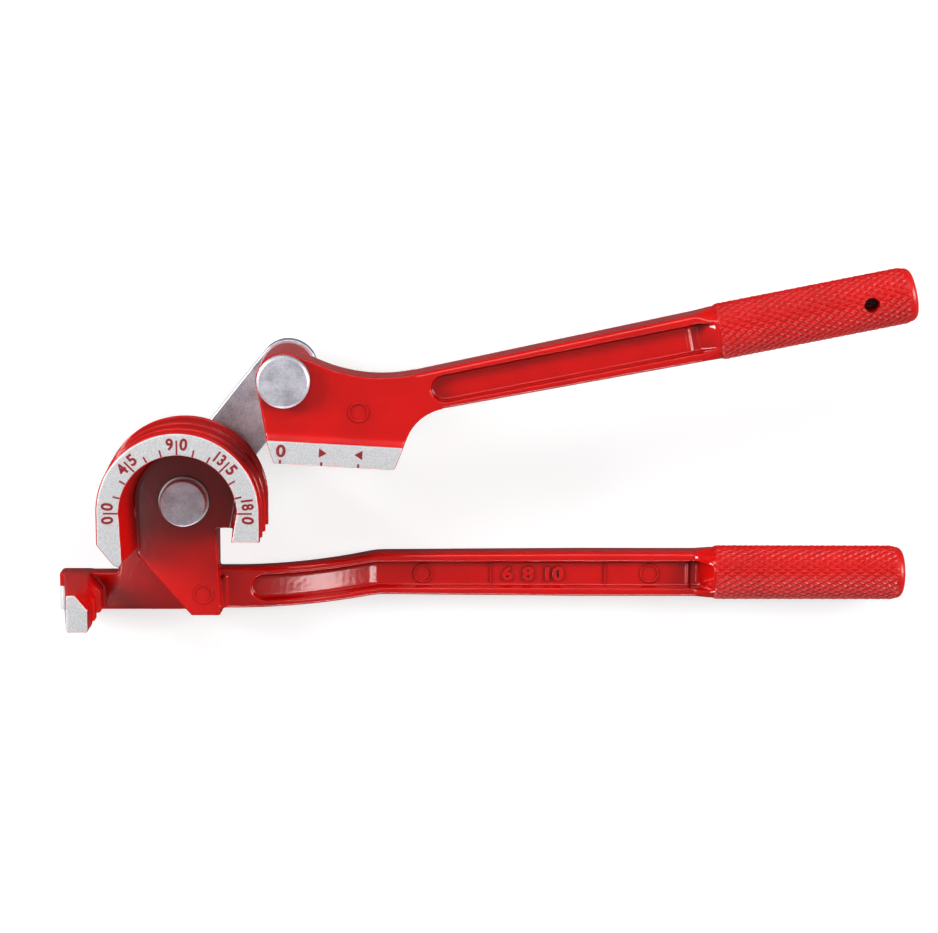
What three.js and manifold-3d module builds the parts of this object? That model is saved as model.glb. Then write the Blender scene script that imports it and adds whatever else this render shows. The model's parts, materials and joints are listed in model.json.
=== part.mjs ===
// Three-size tube bender lying on its back, front side up, in millimetres with +Z towards the front.
// The origin is on the main pin's axis, at the flat back face of that pin, on which the tool rests.
// +X runs along the lower handle, and +Y points from the lower handle to the upper one.

import * as THREE from 'three';
import { mergeVertices } from 'three/addons/utils/BufferGeometryUtils.js';
import Module from 'manifold-3d';

const wasm = await Module();
wasm.setup();

// Running clearances
const axialGap = 0.2;
const boreGap = 0.25;
const shoeRunningGap = 0.6;
const formingGap = 0.75;

// Reaches of the cutting tools and the tolerance of the mesh, which leave no mark on the part
const cutOverrun = 5;
const seamOverlap = 0.35;
const mergeTolerance = 1e-4;

// Tubes that the tool bends, from the front lane to the back lane
const tubeDiameters = [6, 8, 10];
const flangeWidth = 1.5;

// Pins, washers and link
const pinRadius = 5;
const tailRadius = 7.5;
const tailThick = 3.8;
const tailChamfer = 0.8;
const tailWasherThick = 0.8;
const tailWasherRadius = 8.5;
const linkThick = 4.8;
const linkEndRadius = 9.2;
const linkEdge = 0.4;
const spacerThick = 0.6;
const spacerRadius = 8.5;
const headWasherThick = 0.8;
const headWasherRadius = 7.9;
const mainHeadRadius = 7.3;
const mainHeadThick = 4;
const mainHeadChamfer = 0.4;
const shoeHeadRadius = 8.1;
const shoeHeadThick = 3.4;
const shoeHeadChamfer = 0.7;

// Pose in which the tool lies
const linkAngle = THREE.MathUtils.degToRad(51.5);
const shoeAngle = THREE.MathUtils.degToRad(-3.1);

// Forming die
const dieRadius = 25.1;
const dieDraft = THREE.MathUtils.degToRad(2);
const ringWall = 7.1;
const recessDraft = THREE.MathUtils.degToRad(4.9);
const recessShift = 0.65;
const floorThick = 8.8;
const rightLegLength = 9.1;
const rightLegLean = 1.7;
const leftLegLength = 17.1;
const leftLegLean = 0.8;
const leftCutStart = 9.9;
const leftTipOuter = 20;
const leftTipShoulder = 16.3;
const leftTipInner = 18.2;
const leftTipRelief = 1.7;
const dieEdge = 0.35;

// Web and arm
const webRight = 9.8;
const webRightLean = 1.2;
const webFloorDrop = 8.7;
const webLeftDrop = 17.4;
const webTip = 1.9;
const webBottom = 37.1;
const webDraft = 0.2;
const armDrop = 32;
const armHeight = 12.1;
const armSetBack = 3.6;
const armSweepGap = 3;
const armRiseLeft = 22.5;

// Fixed hook
const hookClearance = 3;
const hookLeftFront = 34.8;
const hookLeftBack = 41.5;
const hookTopFront = 25.6;
const hookTopBack = 25.85;
const hookShoulder = 30.3;
const hookFacetWide = 3.9;
const hookFacetTall = 4.7;
const hookBottomFront = 37.6;
const hookWallDraft = 0.6;
const hookRound = 0.9;

// Both handles
const gripRadius = 8.7;
const gripLength = 61.4;
const gripEndRound = 2.2;
const gripNeck = 7;
const barEdge = 1.6;
const channelFloorRound = 0.8;
const channelWallSlope = 0.8;

// Lower handle
const lowerBarHeight = 13.5;
const lowerBarHeightEnd = 14.5;
const lowerBarFlare = 62;
const lowerBarThick = 9.7;
const lowerRootDrop = 31;
const lowerCrankStart = 14;
const lowerCrankLength = 49;
const lowerCrankUp = 5.2;
const lowerGripStart = 169.3;
const lowerGripRise = 0.65;
const lowerChannelStart = 20;
const lowerChannelHeight = 8.7;
const lowerChannelHeightEnd = 9.2;
const lowerChannelDepth = 2.2;
const crankEaseIn = 0.9;
const crankEaseOut = 0.1;

// Forming shoe, in its own frame round the shoe pin
const shoeFace = 25.5;
const shoeFaceLeft = 1.8;
const shoeFaceRight = 35.3;
const shoeStripTop = 18.6;
const shoeStripLeft = 4.4;
const shoeStripRight = 37.6;
const shoeStripRaise = 1.4;
const shoeCornerRound = 1.5;
const shoeBlockTop = 14.5;
const shoeBlockRound = 1.6;
const shoeRibRight = 7;
const eyeRadius = 8.6;
const rootDip = 2.45;
const rootRadius = 48;
const rootEnd = 9;
const throatRadius = 14.5;

// Upper handle, along its own axis from the shoe pin
const upperAxisAngle = THREE.MathUtils.degToRad(14.5);
const upperAxisOffset = -11.95;
const upperBarStart = 40;
const upperBarHeight = 12.05;
const upperBarHeightEnd = 14.9;
const upperBarThick = 14.1;
const upperGripStart = 133.3;
const upperChannelStart = 43.5;
const upperChannelHeight = 8.7;
const upperChannelHeightEnd = 9.4;
const upperChannelDepth = 2.8;
const gripHoleRadius = 2.2;
const gripHoleDepth = 4;
const gripHoleFromEnd = 14.5;

// Facet counts
const circleSteps = 80;
const grooveSteps = 9;
const cornerSteps = 8;
const roundSteps = 4;
const pinSteps = 48;
const arcSteps = 10;
const rootSteps = 2;
const crankSteps = 14;
const spanSteps = 5;
const channelSteps = 16;
const neckSteps = 6;

// Stack of the tool, worked out from the back to the front
const tailWasherBack = tailThick + axialGap;
const tailWasherFront = tailWasherBack + tailWasherThick;
const linkBack = tailWasherFront + axialGap;
const linkFront = linkBack + linkThick;
const spacerBack = linkFront + axialGap;
const spacerFront = spacerBack + spacerThick;
const castingBack = spacerFront + axialGap;
const tubeDepth = tubeDiameters.reduce((sum, tube) => sum + tube, 0);
const castingFront = castingBack + tubeDepth + (tubeDiameters.length + 1) * flangeWidth;
const floorFront = castingBack + floorThick;
const headWasherBack = floorFront + axialGap;
const headWasherFront = headWasherBack + headWasherThick;
const mainHeadBack = headWasherFront + axialGap;
const shoePlateFront = castingFront - shoeStripRaise;
const shoeHeadBack = shoePlateFront + axialGap;
const armBack = 0;
const armFront = castingBack - armSetBack;
const boreRadius = pinRadius + boreGap;

// The link is as long as the die's back flange, the shoe's face and the gap between them.
const recessRadius = dieRadius - ringWall;
const pinDistance = dieRadiusAt(castingBack) + formingGap + shoeFace;

// The arm is as tall as the root of the lower handle and stays below the link's sweep.
const armTop = armDrop - armHeight / 2;
const armBottom = armDrop + armHeight / 2;
const armRise = linkEndRadius + armSweepGap;
const webLeft = recessRadiusAt(floorFront) - recessShift - leftLegLean + seamOverlap;
const hookWall = dieRadius + hookClearance;

// The crank brings the lower handle as far forward as the moving shoe allows.
const lowerBarFront = castingBack - shoeRunningGap;
const lowerCrankForward = lowerBarFront - armFront;
const lowerCrankLift = lowerBarFront - lowerBarThick - armBack;

// Colours and finishes
const redPaint = new THREE.MeshStandardMaterial({ color: 0xc9161a, roughness: 0.28, metalness: 0.1 });
const zincPlate = new THREE.MeshStandardMaterial({ color: 0x9a9aa2, roughness: 0.45, metalness: 0.9 });
const brightSteel = new THREE.MeshStandardMaterial({ color: 0xb4b6ba, roughness: 0.35, metalness: 0.95 });

// Solids

function toSolid(geometry) {
  const bare = geometry.clone();
  for (const name of Object.keys(bare.attributes)) {
    if (name !== 'position') bare.deleteAttribute(name);
  }
  const merged = mergeVertices(bare, mergeTolerance);
  return new wasm.Manifold(new wasm.Mesh({
    numProp: 3,
    vertProperties: new Float32Array(merged.attributes.position.array),
    triVerts: new Uint32Array(merged.index.array),
  }));
}

function toGeometry(solid) {
  const mesh = solid.getMesh();
  const geometry = new THREE.BufferGeometry();
  geometry.setAttribute('position', new THREE.BufferAttribute(new Float32Array(mesh.vertProperties), 3));
  geometry.setIndex(new THREE.BufferAttribute(new Uint32Array(mesh.triVerts), 1));
  return geometry;
}

function join(solids) {
  return solids.reduce((whole, solid) => whole.add(solid));
}

function arcPoints(centreX, centreY, radius, fromAngle, toAngle, steps) {
  const points = [];
  for (let step = 0; step <= steps; step += 1) {
    const angle = THREE.MathUtils.lerp(fromAngle, toAngle, step / steps);
    points.push(new THREE.Vector2(centreX + radius * Math.cos(angle), centreY + radius * Math.sin(angle)));
  }
  return points;
}

function prism(points, back, front) {
  const geometry = new THREE.ExtrudeGeometry(new THREE.Shape(points), {
    depth: front - back,
    bevelEnabled: false,
  });
  geometry.translate(0, 0, back);
  return toSolid(geometry);
}

function disc(radius, back, front, x = 0, y = 0) {
  const geometry = new THREE.CylinderGeometry(radius, radius, front - back, pinSteps);
  geometry.rotateX(Math.PI / 2);
  geometry.translate(x, y, (front + back) / 2);
  return toSolid(geometry);
}

function revolve(points, steps) {
  const geometry = new THREE.LatheGeometry(points, steps);
  geometry.rotateX(Math.PI / 2);
  return geometry;
}

// A loft joins rings of points, each with the same count, and closes both ends: where a ring isn't convex, the
// caps follow its flat outline.
function loft(rings, outline = null) {
  const count = rings[0].length;
  const last = (rings.length - 1) * count;
  const faces = [];
  for (let start = 0; start < last; start += count) {
    for (let column = 0; column < count; column += 1) {
      const next = (column + 1) % count;
      faces.push(start + column, start + next, start + count + next);
      faces.push(start + column, start + count + next, start + count + column);
    }
  }
  const fan = Array.from({ length: count - 2 }, (unused, index) => [0, index + 1, index + 2]);
  for (const [a, b, c] of outline ? THREE.ShapeUtils.triangulateShape(outline, []) : fan) {
    faces.push(a, c, b);
    faces.push(last + a, last + b, last + c);
  }
  const geometry = new THREE.BufferGeometry();
  const positions = rings.flat().flatMap((point) => [point.x, point.y, point.z]);
  geometry.setAttribute('position', new THREE.Float32BufferAttribute(positions, 3));
  geometry.setIndex(faces);
  return toSolid(geometry);
}

// Points of a flat outline at one depth
function atDepth(outline, z) {
  return outline.map((point) => new THREE.Vector3(point.x, point.y, z));
}

// An arc that touches two straight edges leaving one corner.
function filletPoints(corner, alongOne, alongTwo, radius, steps) {
  const halfAngle = alongOne.angleTo(alongTwo) / 2;
  const middle = alongOne.clone().add(alongTwo).normalize();
  const centre = corner.clone().addScaledVector(middle, radius / Math.sin(halfAngle));
  const reach = radius / Math.tan(halfAngle);
  const from = corner.clone().addScaledVector(alongOne, reach).sub(centre);
  const to = corner.clone().addScaledVector(alongTwo, reach).sub(centre);
  const turn = Math.atan2(from.cross(to), from.dot(to));
  return arcPoints(centre.x, centre.y, radius, from.angle(), from.angle() + turn, steps);
}

// A ring across the X axis: a rectangle with round corners, in Y from its centre and in Z between two planes.
function barRing(x, centreY, height, back, front, edge) {
  const halfHeight = height / 2;
  const radius = Math.min(edge, halfHeight, (front - back) / 2);
  const corners = [
    [centreY + halfHeight - radius, front - radius, 0],
    [centreY - halfHeight + radius, front - radius, Math.PI / 2],
    [centreY - halfHeight + radius, back + radius, Math.PI],
    [centreY + halfHeight - radius, back + radius, 1.5 * Math.PI],
  ];
  const ring = [];
  for (const [y, z, start] of corners) {
    for (const point of arcPoints(y, z, radius, start, start + Math.PI / 2, cornerSteps)) {
      ring.push(new THREE.Vector3(x, point.x, point.y));
    }
  }
  return ring;
}

// Stations along a handle, close together where the shape turns.
function stations(spans) {
  const places = [];
  for (const [from, to, steps] of spans) {
    for (let step = places.length ? 1 : 0; step <= steps; step += 1) {
      places.push(THREE.MathUtils.lerp(from, to, step / steps));
    }
  }
  return places;
}

function easedRamp(share, easeIn, easeOut) {
  const slope = 1 / (1 - easeIn / 2 - easeOut / 2);
  const s = THREE.MathUtils.clamp(share, 0, 1);
  if (s < easeIn) return slope * s * s / (2 * easeIn);
  if (s < 1 - easeOut) return slope * (s - easeIn / 2);
  return 1 - slope * (1 - s) * (1 - s) / (2 * easeOut);
}

// Pins, washers and link

function pinGeometry(headRadius, headBack, headThick, headChamfer) {
  const headFront = headBack + headThick;
  const profile = [
    new THREE.Vector2(0, 0),
    new THREE.Vector2(tailRadius - tailChamfer, 0),
    new THREE.Vector2(tailRadius, tailChamfer),
    new THREE.Vector2(tailRadius, tailThick),
    new THREE.Vector2(pinRadius, tailThick),
    new THREE.Vector2(pinRadius, headBack),
    new THREE.Vector2(headRadius, headBack),
    new THREE.Vector2(headRadius, headFront - headChamfer),
    new THREE.Vector2(headRadius - headChamfer, headFront),
    new THREE.Vector2(0, headFront),
  ];
  return toGeometry(toSolid(revolve(profile, pinSteps)));
}

function washerGeometry(radius, back, front) {
  return toGeometry(disc(radius, back, front).subtract(disc(boreRadius, back - cutOverrun, front + cutOverrun)));
}

function linkGeometry() {
  const halfTurn = Math.PI / 2;
  const outline = (radius) => [
    ...arcPoints(pinDistance, 0, radius, -halfTurn, halfTurn, pinSteps / 2),
    ...arcPoints(0, 0, radius, halfTurn, 3 * halfTurn, pinSteps / 2),
  ];
  const layers = [
    [linkEndRadius - linkEdge, linkBack],
    [linkEndRadius, linkBack + linkEdge],
    [linkEndRadius, linkFront - linkEdge],
    [linkEndRadius - linkEdge, linkFront],
  ];
  const rings = layers.map(([radius, z]) => outline(radius).map((point) => new THREE.Vector3(point.x, point.y, z)));
  const bores = [0, pinDistance].map((x) => disc(boreRadius, linkBack - cutOverrun, linkFront + cutOverrun, x));
  return toGeometry(loft(rings).subtract(join(bores)));
}

// Lanes of the tubes, from the front lane to the back lane
const lanes = [];
for (const tube of tubeDiameters) {
  const before = lanes.length ? lanes[lanes.length - 1].back : castingFront;
  const front = before - flangeWidth;
  const centre = front - tube / 2;
  lanes.push({ radius: tube / 2, front, back: front - tube, centre, bend: dieRadiusAt(centre) });
}

function dieRadiusAt(z) {
  return dieRadius + (castingFront - z) * Math.tan(dieDraft);
}

function recessRadiusAt(z) {
  return recessRadius - (castingFront - z) * Math.tan(recessDraft);
}

// Forming die

// The die's section: distance from the axis across, depth up, with one half-round groove for each lane.
// The recess floor lies a little to the right of the axis, so its wall is steeper there.
function dieSection(lean, shift = 0) {
  const inner = recessRadiusAt(floorFront) + shift - lean;
  const points = [
    new THREE.Vector2(recessRadius - lean, castingFront),
    new THREE.Vector2(inner, floorFront),
    new THREE.Vector2(inner, castingBack),
    new THREE.Vector2(dieRadiusAt(castingBack) - dieEdge, castingBack),
    new THREE.Vector2(dieRadiusAt(castingBack), castingBack + dieEdge),
  ];
  for (const lane of [...lanes].reverse()) {
    points.push(...arcPoints(lane.bend, lane.centre, lane.radius, -Math.PI / 2, -1.5 * Math.PI, grooveSteps));
  }
  points.push(new THREE.Vector2(dieRadius, castingFront - dieEdge));
  points.push(new THREE.Vector2(dieRadius - dieEdge, castingFront));
  return points;
}

// The die is one sweep: up the left leg, over the half circle and down the right leg, where the grooves run straight.
function dieSweep() {
  const places = [{ angle: Math.PI, drop: leftLegLength, lean: leftLegLean }];
  for (let step = 0; step <= circleSteps / 2; step += 1) {
    places.push({ angle: Math.PI - (2 * Math.PI * step) / circleSteps, drop: 0, lean: 0 });
  }
  places.push({ angle: 0, drop: rightLegLength, lean: rightLegLean });
  const rings = places.map(({ angle, drop, lean }) => dieSection(lean, recessShift * Math.cos(angle)).map((point) => (
    new THREE.Vector3(point.x * Math.cos(angle), point.x * Math.sin(angle) - drop, point.y)
  )));
  return loft(rings, dieSection(0));
}

// The left leg ends in a blunt tip between a long outer bevel and a short inner one.
function die() {
  const slope = (leftTipShoulder - leftCutStart) / (dieRadius - leftTipOuter);
  const side = dieRadiusAt(castingBack) + cutOverrun;
  const foot = leftLegLength + cutOverrun;
  const bevels = prism([
    new THREE.Vector2(-side, -leftCutStart + slope * (side - dieRadius)),
    new THREE.Vector2(-side, -foot),
    new THREE.Vector2(0, -foot),
    new THREE.Vector2(0, -leftLegLength + leftTipRelief),
    new THREE.Vector2(-recessRadius + leftLegLean, -leftLegLength + leftTipRelief),
    new THREE.Vector2(-leftTipInner, -leftLegLength),
    new THREE.Vector2(-leftTipOuter, -leftTipShoulder),
  ], castingBack - cutOverrun, castingFront + cutOverrun);
  return dieSweep().subtract(bevels);
}

// Web and arm

function webOutline(spread) {
  const radius = recessRadiusAt(floorFront) + seamOverlap;
  const legLean = rightLegLean * webFloorDrop / rightLegLength;
  return [
    new THREE.Vector2(recessShift + radius - legLean, -webFloorDrop),
    ...arcPoints(recessShift, 0, radius, 0, Math.PI, circleSteps / 2),
    new THREE.Vector2(-webLeft - spread, -webLeftDrop),
    new THREE.Vector2(webTip - spread, -webBottom - spread),
    new THREE.Vector2(webRight + webRightLean + spread, -webBottom - spread),
    new THREE.Vector2(webRight + spread, -webFloorDrop),
  ];
}

function web() {
  const back = webOutline(webDraft);
  return loft([atDepth(back, castingBack), atDepth(webOutline(0), floorFront)], back);
}

function arm() {
  const rootEnd = webRight + webRightLean;
  const outline = [
    new THREE.Vector2(-hookLeftBack, -armBottom),
    new THREE.Vector2(rootEnd, -armBottom),
    new THREE.Vector2(rootEnd, -armTop),
    new THREE.Vector2(webRight, -armTop),
    new THREE.Vector2(webRight, -armRise),
    new THREE.Vector2(-armRiseLeft, -armRise),
    new THREE.Vector2(-armRiseLeft, -armTop),
    new THREE.Vector2(-hookLeftBack, -armTop),
  ];
  const neck = [
    new THREE.Vector2(webTip, -armBottom),
    new THREE.Vector2(rootEnd, -armBottom),
    new THREE.Vector2(webRight, -armTop),
    new THREE.Vector2(webRight, -armRise),
    new THREE.Vector2(-webLeft, -armRise),
    new THREE.Vector2(-webLeft, -webLeftDrop),
  ];
  return prism(outline, armBack, armFront).add(prism(neck, armFront - seamOverlap, castingBack + seamOverlap));
}

// Fixed hook

// The hook's outline: share 0 is its small front face, and share 1 its foot at the back of the arm.
function hookOutline(share) {
  const left = THREE.MathUtils.lerp(hookLeftFront, hookLeftBack, share);
  const top = THREE.MathUtils.lerp(hookTopFront, hookTopBack, share);
  const bottom = THREE.MathUtils.lerp(hookBottomFront, armBottom, share);
  const wall = hookWall - hookWallDraft * share;
  const shoulder = hookShoulder + (hookWall - wall) * hookFacetTall / hookFacetWide;
  const facetLeft = hookWall + (hookShoulder - top) * hookFacetWide / hookFacetTall;
  return [
    ...arcPoints(-left + hookRound, -bottom + hookRound, hookRound, Math.PI, 1.5 * Math.PI, roundSteps),
    ...arcPoints(-wall - hookRound, -bottom + hookRound, hookRound, -Math.PI / 2, 0, roundSteps),
    new THREE.Vector2(-wall, -shoulder),
    new THREE.Vector2(-facetLeft, -top),
    ...arcPoints(-left + hookRound, -top - hookRound, hookRound, Math.PI / 2, Math.PI, roundSteps),
  ];
}

function hook() {
  const foot = hookOutline(1);
  const post = loft([atDepth(foot, armBack), atDepth(hookOutline(0), castingFront)], foot);
  return post.subtract(join(lanes.map(hookTube)));
}

// The space that a tube of one lane takes beside the hook
function hookTube(lane) {
  const geometry = new THREE.CylinderGeometry(lane.radius, lane.radius, armBottom, 4 * grooveSteps);
  geometry.translate(-lane.bend, -lowerRootDrop, lane.centre);
  return toSolid(geometry);
}

// Handles

function lowerBarAt(x) {
  const ramp = easedRamp((x - lowerCrankStart) / lowerCrankLength, crankEaseIn, crankEaseOut);
  const flare = THREE.MathUtils.clamp((x - lowerCrankStart - lowerCrankLength) / lowerBarFlare, 0, 1);
  return {
    y: lowerCrankUp * ramp - lowerRootDrop,
    height: THREE.MathUtils.lerp(lowerBarHeight, lowerBarHeightEnd, flare),
    back: armBack + lowerCrankLift * ramp,
    front: armFront + lowerCrankForward * ramp,
  };
}

// The upper handle's bar runs along the X axis of its own frame.
function upperBarAt(x) {
  const share = (x - upperBarStart) / (upperGripStart - upperBarStart);
  return {
    y: 0,
    height: THREE.MathUtils.lerp(upperBarHeight, upperBarHeightEnd, share),
    back: shoePlateFront - upperBarThick,
    front: shoePlateFront,
  };
}

// Both grips end in the same round: the rings draw in over the last part of their length.
function gripRings(start, centreY, centreZ) {
  const end = start + gripLength;
  const ring = (x, radius) => barRing(x, centreY, 2 * radius, centreZ - radius, centreZ + radius, radius);
  const rings = [ring(start, gripRadius)];
  for (let step = 0; step <= roundSteps; step += 1) {
    const angle = (step / roundSteps) * Math.PI / 2;
    const x = end - gripEndRound + gripEndRound * Math.sin(angle);
    rings.push(ring(x, gripRadius - gripEndRound + gripEndRound * Math.cos(angle)));
  }
  return rings;
}

// The neck swells from the bar to the round grip, whose axis may lie higher than the bar's.
function neckRings(start, end, bar, rise, centreZ) {
  const rings = [];
  for (let step = 1; step < neckSteps; step += 1) {
    const share = step / neckSteps;
    const swell = THREE.MathUtils.smoothstep(share, 0, 1);
    const mix = (a, b) => THREE.MathUtils.lerp(a, b, swell);
    rings.push(barRing(
      THREE.MathUtils.lerp(start, end, share),
      bar.y + rise * swell,
      mix(bar.height, 2 * gripRadius),
      mix(bar.back, centreZ - gripRadius),
      mix(bar.front, centreZ + gripRadius),
      mix(barEdge, gripRadius),
    ));
  }
  return rings;
}

// A handle: the bar at the given places, the neck and the grip, in one loft along the X axis.
function handle(places, barAt, gripStart, rise, centreZ) {
  const neckStart = gripStart - gripNeck;
  const rings = places.map((x) => {
    const bar = barAt(x);
    return barRing(x, bar.y, bar.height, bar.back, bar.front, barEdge);
  });
  const end = barAt(neckStart);
  return loft([
    ...rings,
    ...neckRings(neckStart, gripStart, end, rise, centreZ),
    ...gripRings(gripStart, end.y + rise, centreZ),
  ]);
}

// A channel's cutter starts round, and at the far end its floor rises to the surface; side is 1 at the front.
function channelCutter(side, from, to, barAt, heightFrom, heightTo, depth) {
  const round = heightFrom / 2;
  const length = to - from;
  const rings = stations([[0, round, neckSteps], [round, length, channelSteps]]).map((place) => {
    const bar = barAt(from + place);
    const toRound = Math.max(0, 1 - place / round);
    const full = THREE.MathUtils.lerp(heightFrom, heightTo, place / length);
    const height = Math.max(full * Math.sqrt(1 - toRound * toRound), channelFloorRound);
    const low = Math.max(height - 2 * channelWallSlope, channelFloorRound / 2);
    const scoop = THREE.MathUtils.smoothstep(place, length - gripNeck, length);
    const surface = side > 0 ? bar.front : bar.back;
    const bottom = surface - side * THREE.MathUtils.lerp(depth, -channelFloorRound / 2, scoop);
    const corners = [
      [height / 2 + channelWallSlope, surface + side * cutOverrun],
      [-height / 2 - channelWallSlope, surface + side * cutOverrun],
      [-height / 2, surface],
      [-low / 2, bottom],
      [low / 2, bottom],
      [height / 2, surface],
    ];
    const ring = corners.map(([across, z]) => new THREE.Vector3(from + place, bar.y + across, z));
    return side > 0 ? ring : ring.reverse();
  });
  return loft(rings);
}

function lowerHandle() {
  const crankEnd = lowerCrankStart + lowerCrankLength;
  const flareEnd = crankEnd + lowerBarFlare;
  const places = stations([
    [webRight, lowerCrankStart, rootSteps],
    [lowerCrankStart, crankEnd, crankSteps],
    [crankEnd, flareEnd, rootSteps],
    [flareEnd, lowerGripStart - gripNeck, rootSteps],
  ]);
  const channels = [1, -1].map((side) => channelCutter(
    side, lowerChannelStart, lowerGripStart, lowerBarAt,
    lowerChannelHeight, lowerChannelHeightEnd, lowerChannelDepth,
  ));
  const body = handle(places, lowerBarAt, lowerGripStart, lowerGripRise, gripRadius);
  return body.subtract(join(channels));
}

// The upper handle with its blind hole, turned from its own frame into the shoe's frame
function upperHandle() {
  const places = stations([[upperBarStart - upperBarHeight / 2, upperGripStart - gripNeck, spanSteps]]);
  const channels = [1, -1].map((side) => channelCutter(
    side, upperChannelStart, upperGripStart, upperBarAt,
    upperChannelHeight, upperChannelHeightEnd, upperChannelDepth,
  ));
  const hole = disc(
    gripHoleRadius, castingFront - gripHoleDepth, castingFront + cutOverrun,
    upperGripStart + gripLength - gripHoleFromEnd,
  );
  const solid = handle(places, upperBarAt, upperGripStart, 0, castingFront - gripRadius);
  const geometry = toGeometry(solid.subtract(join([...channels, hole])));
  geometry.translate(0, upperAxisOffset, 0);
  geometry.rotateZ(upperAxisAngle);
  return toSolid(geometry);
}

// Forming shoe

// One edge of the upper bar in the shoe's frame: a point at its start, and its direction towards the grip.
function upperBarLine(side) {
  const turned = (x) => new THREE.Vector2(x, upperAxisOffset + side * upperBarAt(x).height / 2)
    .rotateAround(new THREE.Vector2(0, 0), upperAxisAngle);
  const start = turned(upperBarStart);
  return { start, along: turned(upperGripStart).sub(start).normalize() };
}

// The plate's top edge is an arc that touches the bar's top line and dips lowest beside the eye.
function rootArc() {
  const { start, along } = upperBarLine(1);
  const centreY = rootDip + rootRadius;
  const centreX = start.x + ((centreY - start.y) * along.x - rootRadius) / along.y;
  const touch = along.angle() - Math.PI / 2;
  const eyeSide = -Math.PI / 2 - Math.asin((centreX - rootEnd) / rootRadius);
  return arcPoints(centreX, centreY, rootRadius, touch, eyeSide, arcSteps);
}

// The throat is an arc that touches the shoe's right side and the bar's bottom line.
function throatArc() {
  const { start, along } = upperBarLine(-1);
  const foot = new THREE.Vector2(shoeStripRight, -shoeStripTop);
  const down = new THREE.Vector2(shoeFaceRight - shoeStripRight, shoeStripTop - shoeFace).normalize();
  const between = foot.clone().sub(start);
  const reach = between.cross(down) / along.cross(down);
  const corner = start.clone().addScaledVector(along, reach);
  return filletPoints(corner, down, along, throatRadius, arcSteps);
}

function plateOutline() {
  return [
    new THREE.Vector2(-eyeRadius, 0),
    new THREE.Vector2(-shoeStripLeft, -shoeStripTop),
    new THREE.Vector2(shoeStripRight, -shoeStripTop),
    ...throatArc(),
    ...rootArc(),
    new THREE.Vector2(0, eyeRadius),
  ];
}

function blockOutline() {
  const corner = new THREE.Vector2(shoeFaceRight, -shoeFace);
  const up = new THREE.Vector2(shoeStripRight - shoeFaceRight, shoeFace - shoeStripTop).normalize();
  return [
    new THREE.Vector2(-shoeStripLeft, -shoeStripTop),
    new THREE.Vector2(-shoeFaceLeft, -shoeFace),
    ...filletPoints(corner, new THREE.Vector2(-1, 0), up, shoeCornerRound, roundSteps),
    new THREE.Vector2(shoeStripRight, -shoeStripTop),
  ];
}

// Behind the plate the shoe goes on as a block above the face and a rib up to the eye.
function backOutline() {
  const round = shoeBlockRound;
  return [
    new THREE.Vector2(-eyeRadius, 0),
    new THREE.Vector2(-shoeStripLeft, -shoeStripTop),
    new THREE.Vector2(shoeStripRight, -shoeStripTop),
    new THREE.Vector2(shoeStripRight, -shoeBlockTop - round),
    new THREE.Vector2(shoeStripRight - round, -shoeBlockTop),
    new THREE.Vector2(shoeRibRight + round, -shoeBlockTop),
    new THREE.Vector2(shoeRibRight, -shoeBlockTop + round),
    new THREE.Vector2(shoeRibRight, 0),
  ];
}

// The space that a tube of one lane takes along the shoe's face
function shoeTube(lane) {
  const length = shoeStripLeft + shoeStripRight + 2 * cutOverrun;
  const geometry = new THREE.CylinderGeometry(lane.radius, lane.radius, length, 4 * grooveSteps);
  geometry.rotateZ(Math.PI / 2);
  geometry.translate((shoeStripRight - shoeStripLeft) / 2, lane.bend - pinDistance, lane.centre);
  return toSolid(geometry);
}

// Castings

function upperCastingGeometry() {
  const plateBack = shoePlateFront - upperBarThick;
  const body = join([
    prism(plateOutline(), plateBack, shoePlateFront),
    prism(blockOutline(), castingBack, castingFront),
    prism(backOutline(), castingBack, plateBack + seamOverlap),
    disc(eyeRadius, castingBack, shoePlateFront),
    upperHandle(),
  ]);
  const bore = disc(boreRadius, castingBack - cutOverrun, castingFront + cutOverrun);
  return toGeometry(body.subtract(join([bore, ...lanes.map(shoeTube)])));
}

function lowerCastingGeometry() {
  const body = join([die(), web(), arm(), hook(), lowerHandle()]);
  return toGeometry(body.subtract(disc(boreRadius, castingBack - cutOverrun, floorFront + cutOverrun)));
}

// Assembly

const group = new THREE.Group();

function addPiece(parent, name, geometry, material) {
  const mesh = new THREE.Mesh(geometry, material);
  mesh.name = name;
  parent.add(mesh);
  return mesh;
}

addPiece(group, 'lower_casting', lowerCastingGeometry(), redPaint);
addPiece(group, 'main_pin', pinGeometry(mainHeadRadius, mainHeadBack, mainHeadThick, mainHeadChamfer), zincPlate);
addPiece(group, 'main_pin_head_washer', washerGeometry(headWasherRadius, headWasherBack, headWasherFront), brightSteel);
addPiece(group, 'main_pin_spacer_washer', washerGeometry(spacerRadius, spacerBack, spacerFront), brightSteel);
addPiece(group, 'main_pin_tail_washer', washerGeometry(tailWasherRadius, tailWasherBack, tailWasherFront), brightSteel);

const linkGroup = new THREE.Group();
linkGroup.rotation.z = linkAngle;
group.add(linkGroup);
addPiece(linkGroup, 'link_plate', linkGeometry(), zincPlate);

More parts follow.
